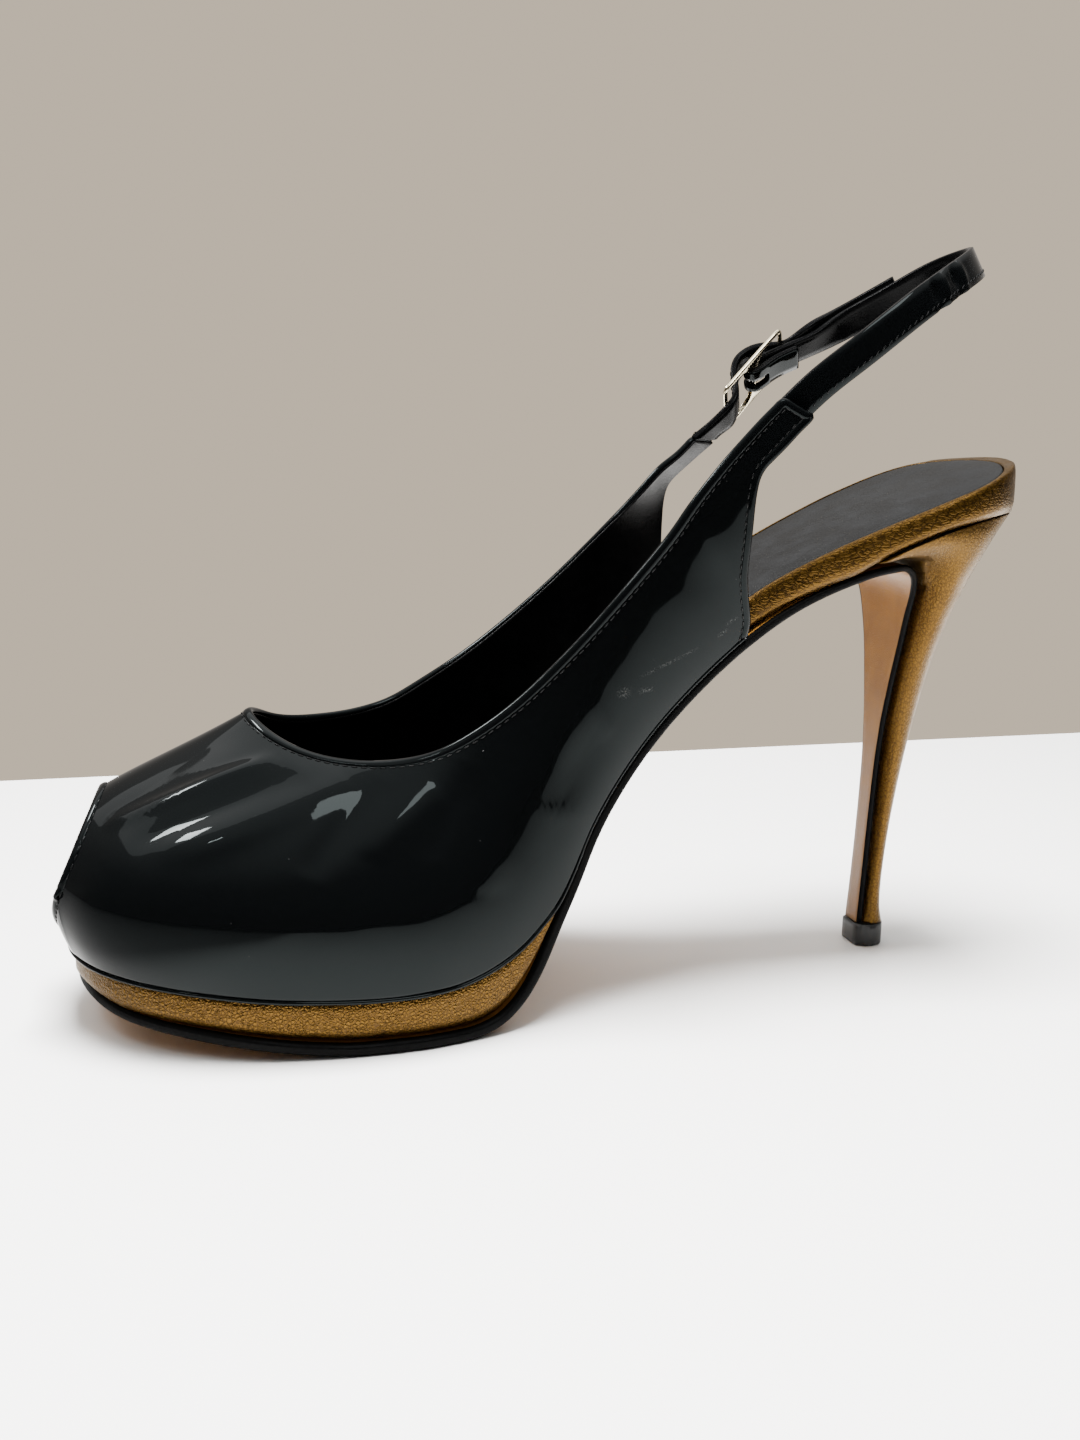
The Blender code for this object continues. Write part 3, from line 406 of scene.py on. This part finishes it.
# Heel: a moulded core covered in the same bronze leather, stretched down the heel, its seam with the
# seat left as a fine line.
heel = copy_of("heel", "heel_cover")
# Its colour is painted darker than the platform's, by a factor of 0.84, as painted shade.
heel.data.materials.append(bronze_leather("bronze_heel", 1700.0, (1.0, 1.0, 0.6), 0.04 * MM, 0.84))
soften(heel, sharper_than=40, crease=0.85)
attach(heel, "root")
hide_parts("heel")


# Heel tip: a black moulded top piece, pinned under the heel, with a fine matt grain from its mould
# and cloudy wear.
def tip_rubber():
    material, shader = new_material("tip_rubber")
    tree = material.node_tree
    marks = place_group(tree, wear, Specks_per_metre=1200.0)
    tone = ramp(tree, marks["Haze"], ((0.0, (0.0012, 0.0012, 0.0013)), (1.0, (0.005, 0.005, 0.005))))
    tree.links.new(tone, shader.inputs["Base Color"])
    gloss(tree, shader, marks["Haze"], 0.35, 0.6)
    bump(tree, shader, fine_noise(tree, 3000.0, 2.0), 0.03 * MM)
    return material


tip = copy_of("heel_tip", "heel_top_piece")
tip.data.materials.append(tip_rubber())
soften(tip, sharper_than=40, crease=0.85)
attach(tip, "root")
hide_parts("heel_tip")


# Upper: vamp, quarters and strap tabs of black patent leather on a black lining, lasted under the
# insole. The topline, the peep and the quarters' back edges are turned over and stitched.
MIDDLE = Vector((102.953, 1.11, 0.0))
WALL_BEND = math.radians(50)
UPPER_OUTSIDE = (0.0, 1.0, 0.0)
STITCH_PITCH = 1.8 * MM
STITCH_LENGTH = 1.35 * MM
STITCH_RADIUS = 0.15 * MM
STITCH_LIFT = 0.3 * STITCH_RADIUS
HEM_REACH = 0.8 * MM
HEM_SPACING = 0.8 * MM
FEATHER_SPACING = 0.9 * MM
FEATHER_SMOOTHING = 2.4 * MM
HEM_PROFILE = ((-0.05, -1.2), (-0.34, -0.9), (-0.42, -0.4), (-0.28, 0.08), (0.12, 0.3), (0.7, 0.33),
               (1.2, 0.25), (1.5, 0.05), (1.5, -0.35), (0.6, -0.5))
FEATHER_PROFILE = ((-0.35, -1.5), (-0.4, -0.3), (-0.2, 0.1), (0.2, 0.22), (0.5, 0.1), (0.6, -0.4))
CURVE_STEPS = 10
CREASE_STEPS = 40
CREASE_FADE = 0.7
CREASE_REACH = 3
# Start, middle, end, width and depth of each crease, ridges with a negative depth
VAMP_CREASES = (
    ((9.0, -12.8, 42.0), (24.8, -16.4, 48.9), (41.7, -15.4, 54.5), 2.0, -0.95),
    ((13.2, -21.3, 39.8), (29.0, -22.8, 47.1), (45.5, -20.0, 52.3), 3.0, 0.8),
    ((18.5, -26.4, 39.4), (34.9, -28.5, 44.0), (55.0, -23.8, 51.6), 3.2, -0.85),
    ((44.5, -35.4, 36.0), (51.0, -32.0, 43.0), (61.0, -25.6, 51.2), 3.2, 0.75),
    ((57.0, -35.4, 38.0), (62.0, -32.0, 44.0), (70.6, -28.0, 50.4), 3.4, -0.65),
    ((69.0, -34.8, 37.0), (72.0, -32.6, 44.5), (78.0, -28.6, 54.0), 3.6, 0.5),
    ((80.0, -35.2, 30.0), (82.6, -32.6, 43.0), (89.0, -29.6, 57.0), 4.2, -0.45),
    ((96.0, -30.0, 44.0), (99.5, -29.4, 53.0), (106.0, -28.0, 60.0), 4.6, 0.5),
    ((10.0, 14.0, 43.0), (24.0, 19.6, 50.0), (42.0, 17.0, 54.8), 3.4, -0.6),
    ((18.0, 27.0, 40.0), (34.0, 28.0, 45.6), (52.0, 23.0, 52.8), 3.8, 0.5),
    ((56.0, 40.0, 28.0), (60.0, 36.5, 40.0), (69.0, 28.8, 51.0), 3.8, 0.45),
    ((74.0, 38.0, 30.0), (77.0, 34.6, 42.0), (84.0, 28.6, 57.0), 4.2, -0.45))
# Start, end and half width of each rubbed streak
SCUFFS = (
    ((107.5, -27.8, 67.2), (110.9, -27.2, 67.5), 1.5),
    ((112.1, -26.9, 67.5), (116.3, -25.9, 67.7), 0.8),
    ((112.6, -27.0, 70.4), (126.7, -24.2, 75.8), 0.55),
    ((130.4, -23.4, 77.6), (133.0, -22.9, 79.0), 0.7),
    ((132.1, -23.4, 80.1), (135.2, -22.8, 81.6), 0.6))
SCUFF_OVERRUN = 0.6
SCUFF_FLECKS = (0.50, 0.72)


def shoe(*sizes):
    """Place given in the shoe's own millimetres: from the toe, from the middle line, from the floor."""
    return (Vector(sizes) - MIDDLE) * MM


def wall_edges(piece, side):
    """Wall whose outermost face lies on a side: its edge loops, rows of point and way inwards, and faces."""
    shape = bmesh.new()
    shape.from_mesh(piece.data)
    start = max(shape.faces, key=lambda face: face.calc_center_median().dot(Vector(side)))
    wall = {start}
    queue = [start]
    while queue:
        for edge in queue.pop().edges:
            for face in edge.link_faces:
                if face not in wall and edge.calc_face_angle(math.pi) < WALL_BEND:
                    wall.add(face)
                    queue.append(face)
    enclosed = wall
    while enclosed:
        enclosed = {face for face in shape.faces if face not in wall
                    and sum(any(other in wall for other in edge.link_faces) for edge in face.edges) > 1}
        wall |= enclosed
    border = {edge for edge in shape.edges if sum(face in wall for face in edge.link_faces) == 1}
    loops = []
    while border:
        edge = min(border, key=lambda side_edge: side_edge.index)
        border.discard(edge)
        vert = edge.verts[0]
        loop = []
        while edge:
            face = next(face for face in edge.link_faces if face in wall)
            inwards = face.calc_center_median() - (edge.verts[0].co + edge.verts[1].co) / 2
            loop.append((*vert.co, *inwards.normalized()))
            vert = edge.other_vert(vert)
            edge = next((other for other in vert.link_edges if other in border), None)
            border.discard(edge)
        loops.append(np.array(loop))
    indices = {face.index for face in wall}
    shape.free()
    return loops, indices


def dress_wall(piece, side, outer, inner):
    """Outer material on the wall that lies on a side, inner one elsewhere: the wall's loops by length."""
    piece.data.materials.append(outer)
    piece.data.materials.append(inner)
    loops, outside = wall_edges(piece, side)
    for face in piece.data.polygons:
        face.material_index = 0 if face.index in outside else 1
    return sorted(loops, key=len)


def part_of(loop, start, end, via):
    """Stretch of a loop from near one place to near another, by the way that passes a third."""
    def nearest(place):
        return int(np.argmin(np.linalg.norm(loop[:, :3] - np.array(place), axis=1)))
    first, last, middle = nearest(start), nearest(end), nearest(via)
    count = len(loop)
    if (middle - first) % count <= (last - first) % count:
        return loop[[(first + step) % count for step in range((last - first) % count + 1)]]
    return loop[[(first - step) % count for step in range((first - last) % count + 1)]]


def even_path(rows, spacing, closed=False):
    """Evenly spaced rows on a smooth curve through the given ones."""
    if closed:
        padded = np.vstack((rows[-1:], rows, rows[:2]))
    else:
        padded = np.vstack((2 * rows[:1] - rows[1:2], rows, 2 * rows[-1:] - rows[-2:-1]))
    dense = []
    for a, b, c, d in zip(padded, padded[1:], padded[2:], padded[3:]):
        for t in np.linspace(0, 1, CURVE_STEPS, endpoint=False):
            bend = (2 * a - 5 * b + 4 * c - d) * t ** 2 + (3 * b - a - 3 * c + d) * t ** 3
            dense.append(b + ((c - a) * t + bend) / 2)
    dense.append(padded[-2])
    dense = np.array(dense)
    steps = np.linalg.norm(np.diff(dense[:, :3], axis=0), axis=1)
    along = np.concatenate(((0.0,), np.cumsum(steps)))
    at = np.linspace(0, along[-1], max(2, round(along[-1] / spacing)) + 1)
    return np.column_stack([np.interp(at, along, column) for column in dense.T])


def frames_on(tree, path, depth):
    """At a depth in from an edge: points on the surface, with the ways along, inwards and out."""
    points = path[:, :3]
    if np.allclose(points[0], points[-1]):
        points = np.vstack((points[-2], points, points[1]))
    around = (len(points) - len(path)) // 2
    ways = np.gradient(points, axis=0)[around:around + len(path)]
    for row, way in zip(path, ways):
        square = Vector(row[3:]) - Vector(row[3:]).project(Vector(way))
        spot, out = tree.find_nearest(Vector(row[:3]) + square.normalized() * depth)[:2]
        along = Vector(way) - Vector(way).project(out)
        along.normalize()
        inwards = out.cross(along)
        if inwards.dot(square) < 0:
            inwards = -inwards
        yield spot, along, inwards, out


def surface_tree(piece):
    shape = bmesh.new()
    shape.from_mesh(piece.data)
    tree = BVHTree.FromBMesh(shape)
    shape.free()
    return tree


def new_piece(name, shape, material):
    mesh = bpy.data.meshes.new(name)
    shape.to_mesh(mesh)
    shape.free()
    piece = bpy.data.objects.new(name, mesh)
    bpy.context.scene.collection.objects.link(piece)
    mesh.materials.append(material)
    select_only(piece)
    bpy.ops.object.shade_smooth()
    return piece


def hem(name, tree, path, profile, material, closed=False):
    """Turned edge: a profile, in millimetres inwards and out from the edge, drawn along a path."""
    shape = bmesh.new()
    rings = []
    for row, place in zip(path, frames_on(tree, path, HEM_REACH)):
        inwards, out = place[2:]
        corner = Vector(row[:3])
        rings.append([shape.verts.new(corner + (inwards * a + out * b) * MM) for a, b in profile])
    if closed:
        for vert in rings.pop():
            shape.verts.remove(vert)
        rings.append(rings[0])
    for ring, following in zip(rings, rings[1:]):
        for k in range(len(profile)):
            shape.faces.new((ring[k - 1], ring[k], following[k], following[k - 1]))
    if not closed:
        shape.faces.new(rings[0])
        shape.faces.new(rings[-1])
    bmesh.ops.recalc_face_normals(shape, faces=shape.faces[:])
    return new_piece(name, shape, material)


def stitch_row(name, tree, edge, depth, slant, material, closed=False):
    """Row of thread stitches at a depth in millimetres from an edge, each turned from it by a slant."""
    places = list(frames_on(tree, even_path(edge, STITCH_PITCH, closed), depth * MM))
    if closed:
        places.pop()
    bpy.ops.object.select_all(action="DESELECT")
    bpy.ops.mesh.primitive_uv_sphere_add(segments=8, ring_count=6, radius=STITCH_RADIUS)
    one = bpy.context.object
    bpy.ops.object.mode_set(mode="EDIT")
    bpy.ops.mesh.select_all(action="SELECT")
    bpy.ops.transform.resize(value=(STITCH_LENGTH / (2 * STITCH_RADIUS), 1.0, 1.0))
    bpy.ops.object.mode_set(mode="OBJECT")
    shape = bmesh.new()
    for spot, along, inwards, out in places:
        way = along * math.cos(slant) + inwards * math.sin(slant)
        turned = Matrix((way, out.cross(way), out)).transposed().to_4x4()
        before = len(shape.verts)
        shape.from_mesh(one.data)
        shape.verts.ensure_lookup_table()
        place = Matrix.Translation(spot + out * STITCH_LIFT) @ turned
        bmesh.ops.transform(shape, matrix=place, verts=shape.verts[before:])
    bpy.data.objects.remove(one)
    return new_piece(name, shape, material)


def press(piece, points, width, depth):
    """Soft trough (or ridge, with a negative depth) along a curve through three places of the shoe."""
    start, middle, end = (np.array(shoe(*point)) for point in points)
    t = np.linspace(0, 1, CREASE_STEPS)[:, None]
    curve = start * (1 - t) ** 2 + (2 * middle - (start + end) / 2) * 2 * t * (1 - t) + end * t ** 2
    fade = np.sin(np.linspace(0, np.pi, CREASE_STEPS)) ** CREASE_FADE
    count = len(piece.data.vertices)
    places = np.empty(count * 3, np.float32)
    ways = np.empty(count * 3, np.float32)
    piece.data.vertices.foreach_get("co", places)
    piece.data.vertices.foreach_get("normal", ways)
    places, ways = places.reshape(-1, 3), ways.reshape(-1, 3)
    reach = CREASE_REACH * width * MM
    low, high = curve.min(axis=0) - reach, curve.max(axis=0) + reach
    chosen = ((places > low) & (places < high)).all(axis=1)
    gaps = np.linalg.norm(places[chosen][:, None] - curve, axis=2)
    strength = np.exp(-(gaps.min(axis=1) / (width * MM)) ** 2) * fade[gaps.argmin(axis=1)]
    places[chosen] -= ways[chosen] * (depth * MM * strength)[:, None]
    piece.data.vertices.foreach_set("co", places.ravel())
    piece.data.update()


def scuff_group():
    """Rubbed streak: a mask of broken specks round a line of a given middle, way, length and width."""
    sockets = (("Middle", "Vector"), ("Along", "Vector"), ("Half length", "Float"), ("Half width", "Float"))
    tree, given, result, place = new_group("scuff", sockets, ("Mask",))
    offset = combine(tree, "SUBTRACT", place, given["Middle"], kind="VectorMath")
    lengthwise = add_node(tree, "VectorMath", operation="DOT_PRODUCT")
    tree.links.new(offset, lengthwise.inputs[0])
    tree.links.new(given["Along"], lengthwise.inputs[1])
    foot = add_node(tree, "VectorMath", operation="SCALE")
    tree.links.new(given["Along"], foot.inputs[0])
    tree.links.new(lengthwise.outputs["Value"], foot.inputs["Scale"])
    aside = add_node(tree, "VectorMath", operation="DISTANCE")
    tree.links.new(offset, aside.inputs[0])
    tree.links.new(foot.outputs[0], aside.inputs[1])
    how_far = combine(tree, "ABSOLUTE", lengthwise.outputs["Value"])
    within = map_range(tree, how_far, 0.0, given["Half length"], 1.0, 0.0, smooth=True)
    beside = map_range(tree, aside.outputs["Value"], 0.0, given["Half width"], 1.0, 0.0, smooth=True)
    flecks = map_range(tree, fine_noise(tree, 2500.0, 4.0, 0.7), *SCUFF_FLECKS)
    streak = combine(tree, "MULTIPLY", within, beside)
    tree.links.new(combine(tree, "MULTIPLY", streak, flecks), result["Mask"])
    return tree


def patent_leather():
    """Black gloss film with dust, a slow swell, and scuffs on the inner quarter above the arch."""
    material, shader = new_material("black_patent")
    tree = material.node_tree
    marks = place_group(tree, wear, Specks_per_metre=260.0)
    rubbed = marks["Speck"]
    scuff = scuff_group()
    for start, end, half_width in SCUFFS:
        way = shoe(*end) - shoe(*start)
        streak = place_group(tree, scuff, Middle=(shoe(*start) + shoe(*end)) / 2, Along=way.normalized(),
                             Half_length=way.length * SCUFF_OVERRUN, Half_width=half_width * MM)
        rubbed = combine(tree, "MAXIMUM", rubbed, streak["Mask"])
    tone = ramp(tree, rubbed, ((0.0, (0.0012, 0.0014, 0.0015)), (1.0, (0.10, 0.10, 0.097))))
    tree.links.new(tone, shader.inputs["Base Color"])
    gloss(tree, shader, marks["Haze"], 0.03, 0.08)
    shader.inputs["Specular IOR Level"].default_value = 0.085
    shader.inputs["Specular Tint"].default_value = (0.86, 1.0, 1.0, 1.0)
    bump(tree, shader, marks["Swell"], 0.5 * MM)
    return material


def lining_leather():
    material, shader = new_material("black_lining")
    tree = material.node_tree
    marks = place_group(tree, wear, Specks_per_metre=700.0)
    grain = place_group(tree, hide_grain, Cells_per_metre=1900.0, Stretch=EVEN_GRAIN)
    tone = ramp(tree, marks["Haze"], ((0.0, (0.0010, 0.0010, 0.0011)), (1.0, (0.0028, 0.0029, 0.003))))
    tree.links.new(tone, shader.inputs["Base Color"])
    gloss(tree, shader, marks["Haze"], 0.35, 0.5)
    shader.inputs["Specular IOR Level"].default_value = 0.15
    bump(tree, shader, grain["Height"], 0.02 * MM)
    return material


def sewing_thread():
    material, shader = new_material("black_thread")
    tree = material.node_tree
    twist = fine_noise(tree, 5000.0, 2.0)
    tone = ramp(tree, twist, ((0.3, (0.0010, 0.0010, 0.0011)), (0.7, (0.0035, 0.0036, 0.0038))))
    tree.links.new(tone, shader.inputs["Base Color"])
    shader.inputs["Roughness"].default_value = 0.45
    shader.inputs["Specular IOR Level"].default_value = 0.2
    bump(tree, shader, twist, 0.03 * MM)
    return material


upper = copy_of("upper", "patent_upper")
patent = patent_leather()
thread = sewing_thread()
peep_loop, outer_loop = dress_wall(upper, UPPER_OUTSIDE, patent, lining_leather())
peep_loop[:, 3:] = peep_loop[:, :3] - peep_loop[:, :3].mean(axis=0)
soften(upper, sharper_than=60, crease=0.6)
for *points, width, depth in VAMP_CREASES:
    press(upper, points, width, depth)
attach(upper, "root")
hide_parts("upper")

upper_tree = surface_tree(upper)
near_tab_top, near_tab_low = shoe(141.6, -25.4, 125.7), shoe(148.0, -26.0, 119.0)
far_tab_top, far_tab_low = shoe(141.6, 22.4, 117.0), shoe(148.0, 23.0, 110.0)
near_sole, far_sole = shoe(138.0, -22.0, 76.0), shoe(138.0, 22.0, 76.0)
throat = shoe(38.0, 0.0, 60.9)
free_edge = part_of(outer_loop, near_sole, far_sole, throat)
topline = part_of(outer_loop, near_tab_top, far_tab_top, throat)
near_back = part_of(outer_loop, near_tab_low, near_sole, shoe(136.5, -24.0, 100.0))
far_back = part_of(outer_loop, far_tab_low, far_sole, shoe(136.5, 23.0, 96.0))
near_end = part_of(outer_loop, near_tab_top, near_tab_low, shoe(145.0, -25.6, 122.0))
far_end = part_of(outer_loop, far_tab_top, far_tab_low, shoe(145.0, 22.6, 113.0))
feather_edge = part_of(outer_loop, near_sole, far_sole, shoe(-1.0, 0.0, 15.0))
peep_edge = even_path(peep_loop, 4 * HEM_SPACING, closed=True)[:-1]
free_path = even_path(even_path(free_edge, 2 * HEM_SPACING), HEM_SPACING)
peep_path = even_path(peep_edge, HEM_SPACING, closed=True)
feather_path = even_path(even_path(feather_edge, FEATHER_SMOOTHING), FEATHER_SPACING)
for piece in (hem("free_edge_hem", upper_tree, free_path, HEM_PROFILE, patent),
              hem("peep_hem", upper_tree, peep_path, HEM_PROFILE, patent, closed=True),
              hem("feather_line", upper_tree, feather_path, FEATHER_PROFILE, patent)):
    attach(piece, "root")
stitched_edges = (("topline", topline, 1.8, False),
                  ("near_quarter", near_back, 1.65, False),
                  ("far_quarter", far_back, 1.65, False),
                  ("peep", peep_edge, 1.9, True),
                  ("near_tab", near_end, 1.4, False),
                  ("far_tab", far_end, 1.4, False))
for name, edge, depth, closed in stitched_edges:
    sewn = stitch_row(name + "_stitches", upper_tree, edge, depth, 0.0, thread, closed)
    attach(sewn, "root")


# Sling strap: a narrow band of patent leather on black lining, sewn into the inner tab, led round the
# heel and turned back round the buckle. One edge is stitched through, and handling has crinkled it.
SLING_OUTSIDE = (0.87, 0.0, 0.48)
STITCH_SLANT = math.radians(18)
SLING_STITCH_DEPTH = 1.3
SLING_CRINKLES = (
    ((176.1, -22.9, 143.6), (175.7, -22.6, 147.3), (174.3, -22.4, 150.6), 1.0, 0.9),
    ((178.7, -21.9, 145.0), (178.1, -21.7, 148.6), (177.1, -21.5, 151.9), 1.1, -0.8),
    ((181.7, -20.2, 146.8), (181.3, -20.0, 150.3), (180.1, -19.8, 153.4), 1.0, 0.9),
    ((184.1, -18.7, 148.0), (183.7, -18.5, 151.4), (182.7, -18.3, 154.6), 1.2, -0.65))


def strap_lining():
    material, shader = new_material("black_strap_lining")
    tree = material.node_tree
    marks = place_group(tree, wear, Specks_per_metre=900.0)
    tone = ramp(tree, marks["Haze"], ((0.0, (0.0010, 0.0010, 0.0011)), (1.0, (0.0025, 0.0026, 0.0027))))
    tree.links.new(tone, shader.inputs["Base Color"])
    gloss(tree, shader, marks["Haze"], 0.20, 0.32)
    shader.inputs["Specular IOR Level"].default_value = 0.04
    bump(tree, shader, fine_noise(tree, 2500.0, 3.0), 0.03 * MM)
    return material


strap_inside = strap_lining()
sling = copy_of("back_strap", "sling_strap")
sling_loop = dress_wall(sling, SLING_OUTSIDE, patent, strap_inside)[-1]
soften(sling, sharper_than=60, crease=0.55)
for *points, width, depth in SLING_CRINKLES:
    press(sling, points, width, depth)
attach(sling, "root")
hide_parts("back_strap")
sling_low = part_of(sling_loop, shoe(139.9, -22.7, 113.5), shoe(180.7, 25.1, 140.2), shoe(198.0, 0.0, 153.2))
sling_stitches = stitch_row("sling_stitches", surface_tree(sling), sling_low, SLING_STITCH_DEPTH,
                            STITCH_SLANT, thread)
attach(sling_stitches, "root")


# Buckle strap: the outer tab's own band, led up through the buckle and back along the sling strap. It
# is stitched all round.
BUCKLE_STRAP_OUTSIDE = (0.35, 0.8, 0.5)
BUCKLE_STRAP_STITCH_DEPTH = 1.2
buckle_band = copy_of("buckle_strap", "buckle_end_strap")
band_loop = dress_wall(buckle_band, BUCKLE_STRAP_OUTSIDE, patent, strap_inside)[-1]
soften(buckle_band, sharper_than=60, crease=0.55)
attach(buckle_band, "root")
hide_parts("buckle_strap")
band_stitches = stitch_row("buckle_strap_stitches", surface_tree(buckle_band), band_loop,
                           BUCKLE_STRAP_STITCH_DEPTH, STITCH_SLANT, thread, closed=True)
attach(band_stitches, "root")


# Buckle: a frame of pale gilt wire with a middle bar, and a prong that turns on the bar. Both are
# polished and a little hazed by handling.
def gilt_metal():
    material, shader = new_material("pale_gilt")
    tree = material.node_tree
    marks = place_group(tree, wear, Specks_per_metre=900.0)
    tone = ramp(tree, marks["Haze"], ((0.0, (0.80, 0.70, 0.50)), (1.0, (0.66, 0.56, 0.38))))
    tree.links.new(tone, shader.inputs["Base Color"])
    shader.inputs["Metallic"].default_value = 1.0
    gloss(tree, shader, marks["Haze"], 0.10, 0.25)
    return material


gilt = gilt_metal()
for node, name in (("buckle_frame", "buckle_wire"), ("buckle_prong", "buckle_pin")):
    metal = copy_of(node, name)
    metal.data.materials.append(gilt)
    soften(metal, sharper_than=80, crease=0.6)
    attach(metal, "root")
    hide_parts(node)


# Stage: a white glossy table top that ends behind the shoe, a pale wall colour beyond it, and soft
# light from above. Gloss on the shoe mirrors the table up to half a metre in front of it, where a dark
# room takes over, and past the toe most of the mirrored table fades into that room too.
FLOOR_LENGTH = 3.0
FLOOR_DEPTH = 1.6
FLOOR_BACK = 0.20
FLOOR_DROP = 0.0002
MIRRORED_FRONT = -0.5
MIRRORED_TOE = -0.085
TOE_FADE = 0.04
TOE_SHARE = 0.72
DARK_ROOM = (0.01, 0.01, 0.01, 1.0)
ROOM = ((0.0, (0.03, 0.03, 0.035)), (0.45, (0.07, 0.07, 0.07)), (1.0, (0.55, 0.51, 0.47)))
ROOM_SPAN = (-0.6, 0.7)
CEILING_SPAN = (0.45, 0.95)
CEILING = (1.4, 1.4, 1.37)
BACKDROP = (0.71, 0.60, 0.465)
ACROSS = (1.0, 0.0, 0.0)
bpy.ops.object.select_all(action="DESELECT")
bpy.ops.mesh.primitive_plane_add(size=1.0)
floor = bpy.context.object
floor.name = "floor"
floor.scale = (FLOOR_LENGTH, FLOOR_DEPTH, 1.0)
floor.location = (0.0, FLOOR_BACK - FLOOR_DEPTH / 2, -FLOOR_DROP)
bpy.ops.object.transform_apply(location=True, rotation=True, scale=True)
table_white, floor_shader = new_material("white_table")
floor_shader.inputs["Base Color"].default_value = (0.90, 0.89, 0.875, 1.0)
floor_shader.inputs["Roughness"].default_value = 0.18
floor.data.materials.append(table_white)
tree = table_white.node_tree
place = tree.nodes.new("ShaderNodeTexCoord")
split = tree.nodes.new("ShaderNodeSeparateXYZ")
tree.links.new(place.outputs["Object"], split.inputs[0])
in_front = combine(tree, "LESS_THAN", split.outputs["Y"], MIRRORED_FRONT)
past_toe = map_range(tree, split.outputs["X"], MIRRORED_TOE, MIRRORED_TOE - TOE_FADE, 0.0, TOE_SHARE,
                     smooth=True)
either = combine(tree, "MAXIMUM", in_front, past_toe)
ray = tree.nodes.new("ShaderNodeLightPath")
unseen = combine(tree, "MULTIPLY", either, ray.outputs["Is Glossy Ray"])
dark_room = add_node(tree, "BsdfDiffuse", Color=DARK_ROOM)
choice = tree.nodes.new("ShaderNodeMixShader")
tree.links.new(unseen, choice.inputs[0])
tree.links.new(floor_shader.outputs[0], choice.inputs[1])
tree.links.new(dark_room.outputs[0], choice.inputs[2])
tree.links.new(choice.outputs[0], tree.nodes["Material Output"].inputs["Surface"])


def add_light(name, place, target, along, size, power, mirrored=True, lit=True):
    """Rectangular lamp that faces a target, its first size laid along a given way."""
    data = bpy.data.lights.new(name, "AREA")
    data.shape = "RECTANGLE"
    data.size, data.size_y = size
    data.energy = power
    light = bpy.data.objects.new(name, data)
    back = (Vector(place) - Vector(target)).normalized()
    side = (Vector(along) - Vector(along).project(back)).normalized()
    turned = Matrix((side, back.cross(side), back)).transposed().to_4x4()
    light.matrix_world = Matrix.Translation(place) @ turned
    light.visible_glossy = mirrored
    light.visible_diffuse = lit
    bpy.context.scene.collection.objects.link(light)


add_light("overhead_soft", (-0.05, 0.0, 0.9), (-0.05, 0.0, 0.0), ACROSS, (0.45, 0.35), 60.0, mirrored=False)
add_light("ceiling_panel", (-0.22, 0.59, 1.1), (-0.22, 0.59, 0.0), ACROSS, (1.87, 0.82), 9.0)
add_light("vamp_glow", (-0.57, 0.36, 0.95), (-0.08, -0.03, 0.04), (0.21, 0.26, 0.0), (0.26, 0.15), 11.0,
          lit=False)
add_light("vamp_spot", (-0.47, -0.36, 0.90), (-0.08, -0.02, 0.04), ACROSS, (0.12, 0.03), 0.9)
add_light("rim_glow", (0.14, -0.42, 0.95), (0.06, -0.02, 0.1), ACROSS, (0.28, 0.3), 4.2, lit=False)

world = bpy.data.worlds.new("studio")
bpy.context.scene.world = world
world.use_nodes = True
tree = world.node_tree
place = tree.nodes.new("ShaderNodeTexCoord")
split = tree.nodes.new("ShaderNodeSeparateXYZ")
tree.links.new(place.outputs["Generated"], split.inputs[0])
room = ramp(tree, map_range(tree, split.outputs["Y"], *ROOM_SPAN), ROOM)
to_top = map_range(tree, split.outputs["Z"], *CEILING_SPAN, smooth=True)
ceiling = mix(tree, to_top, room, CEILING)
ray = tree.nodes.new("ShaderNodeLightPath")
backdrop = mix(tree, ray.outputs["Is Camera Ray"], ceiling, BACKDROP)
tree.links.new(backdrop, tree.nodes["Background"].inputs["Color"])
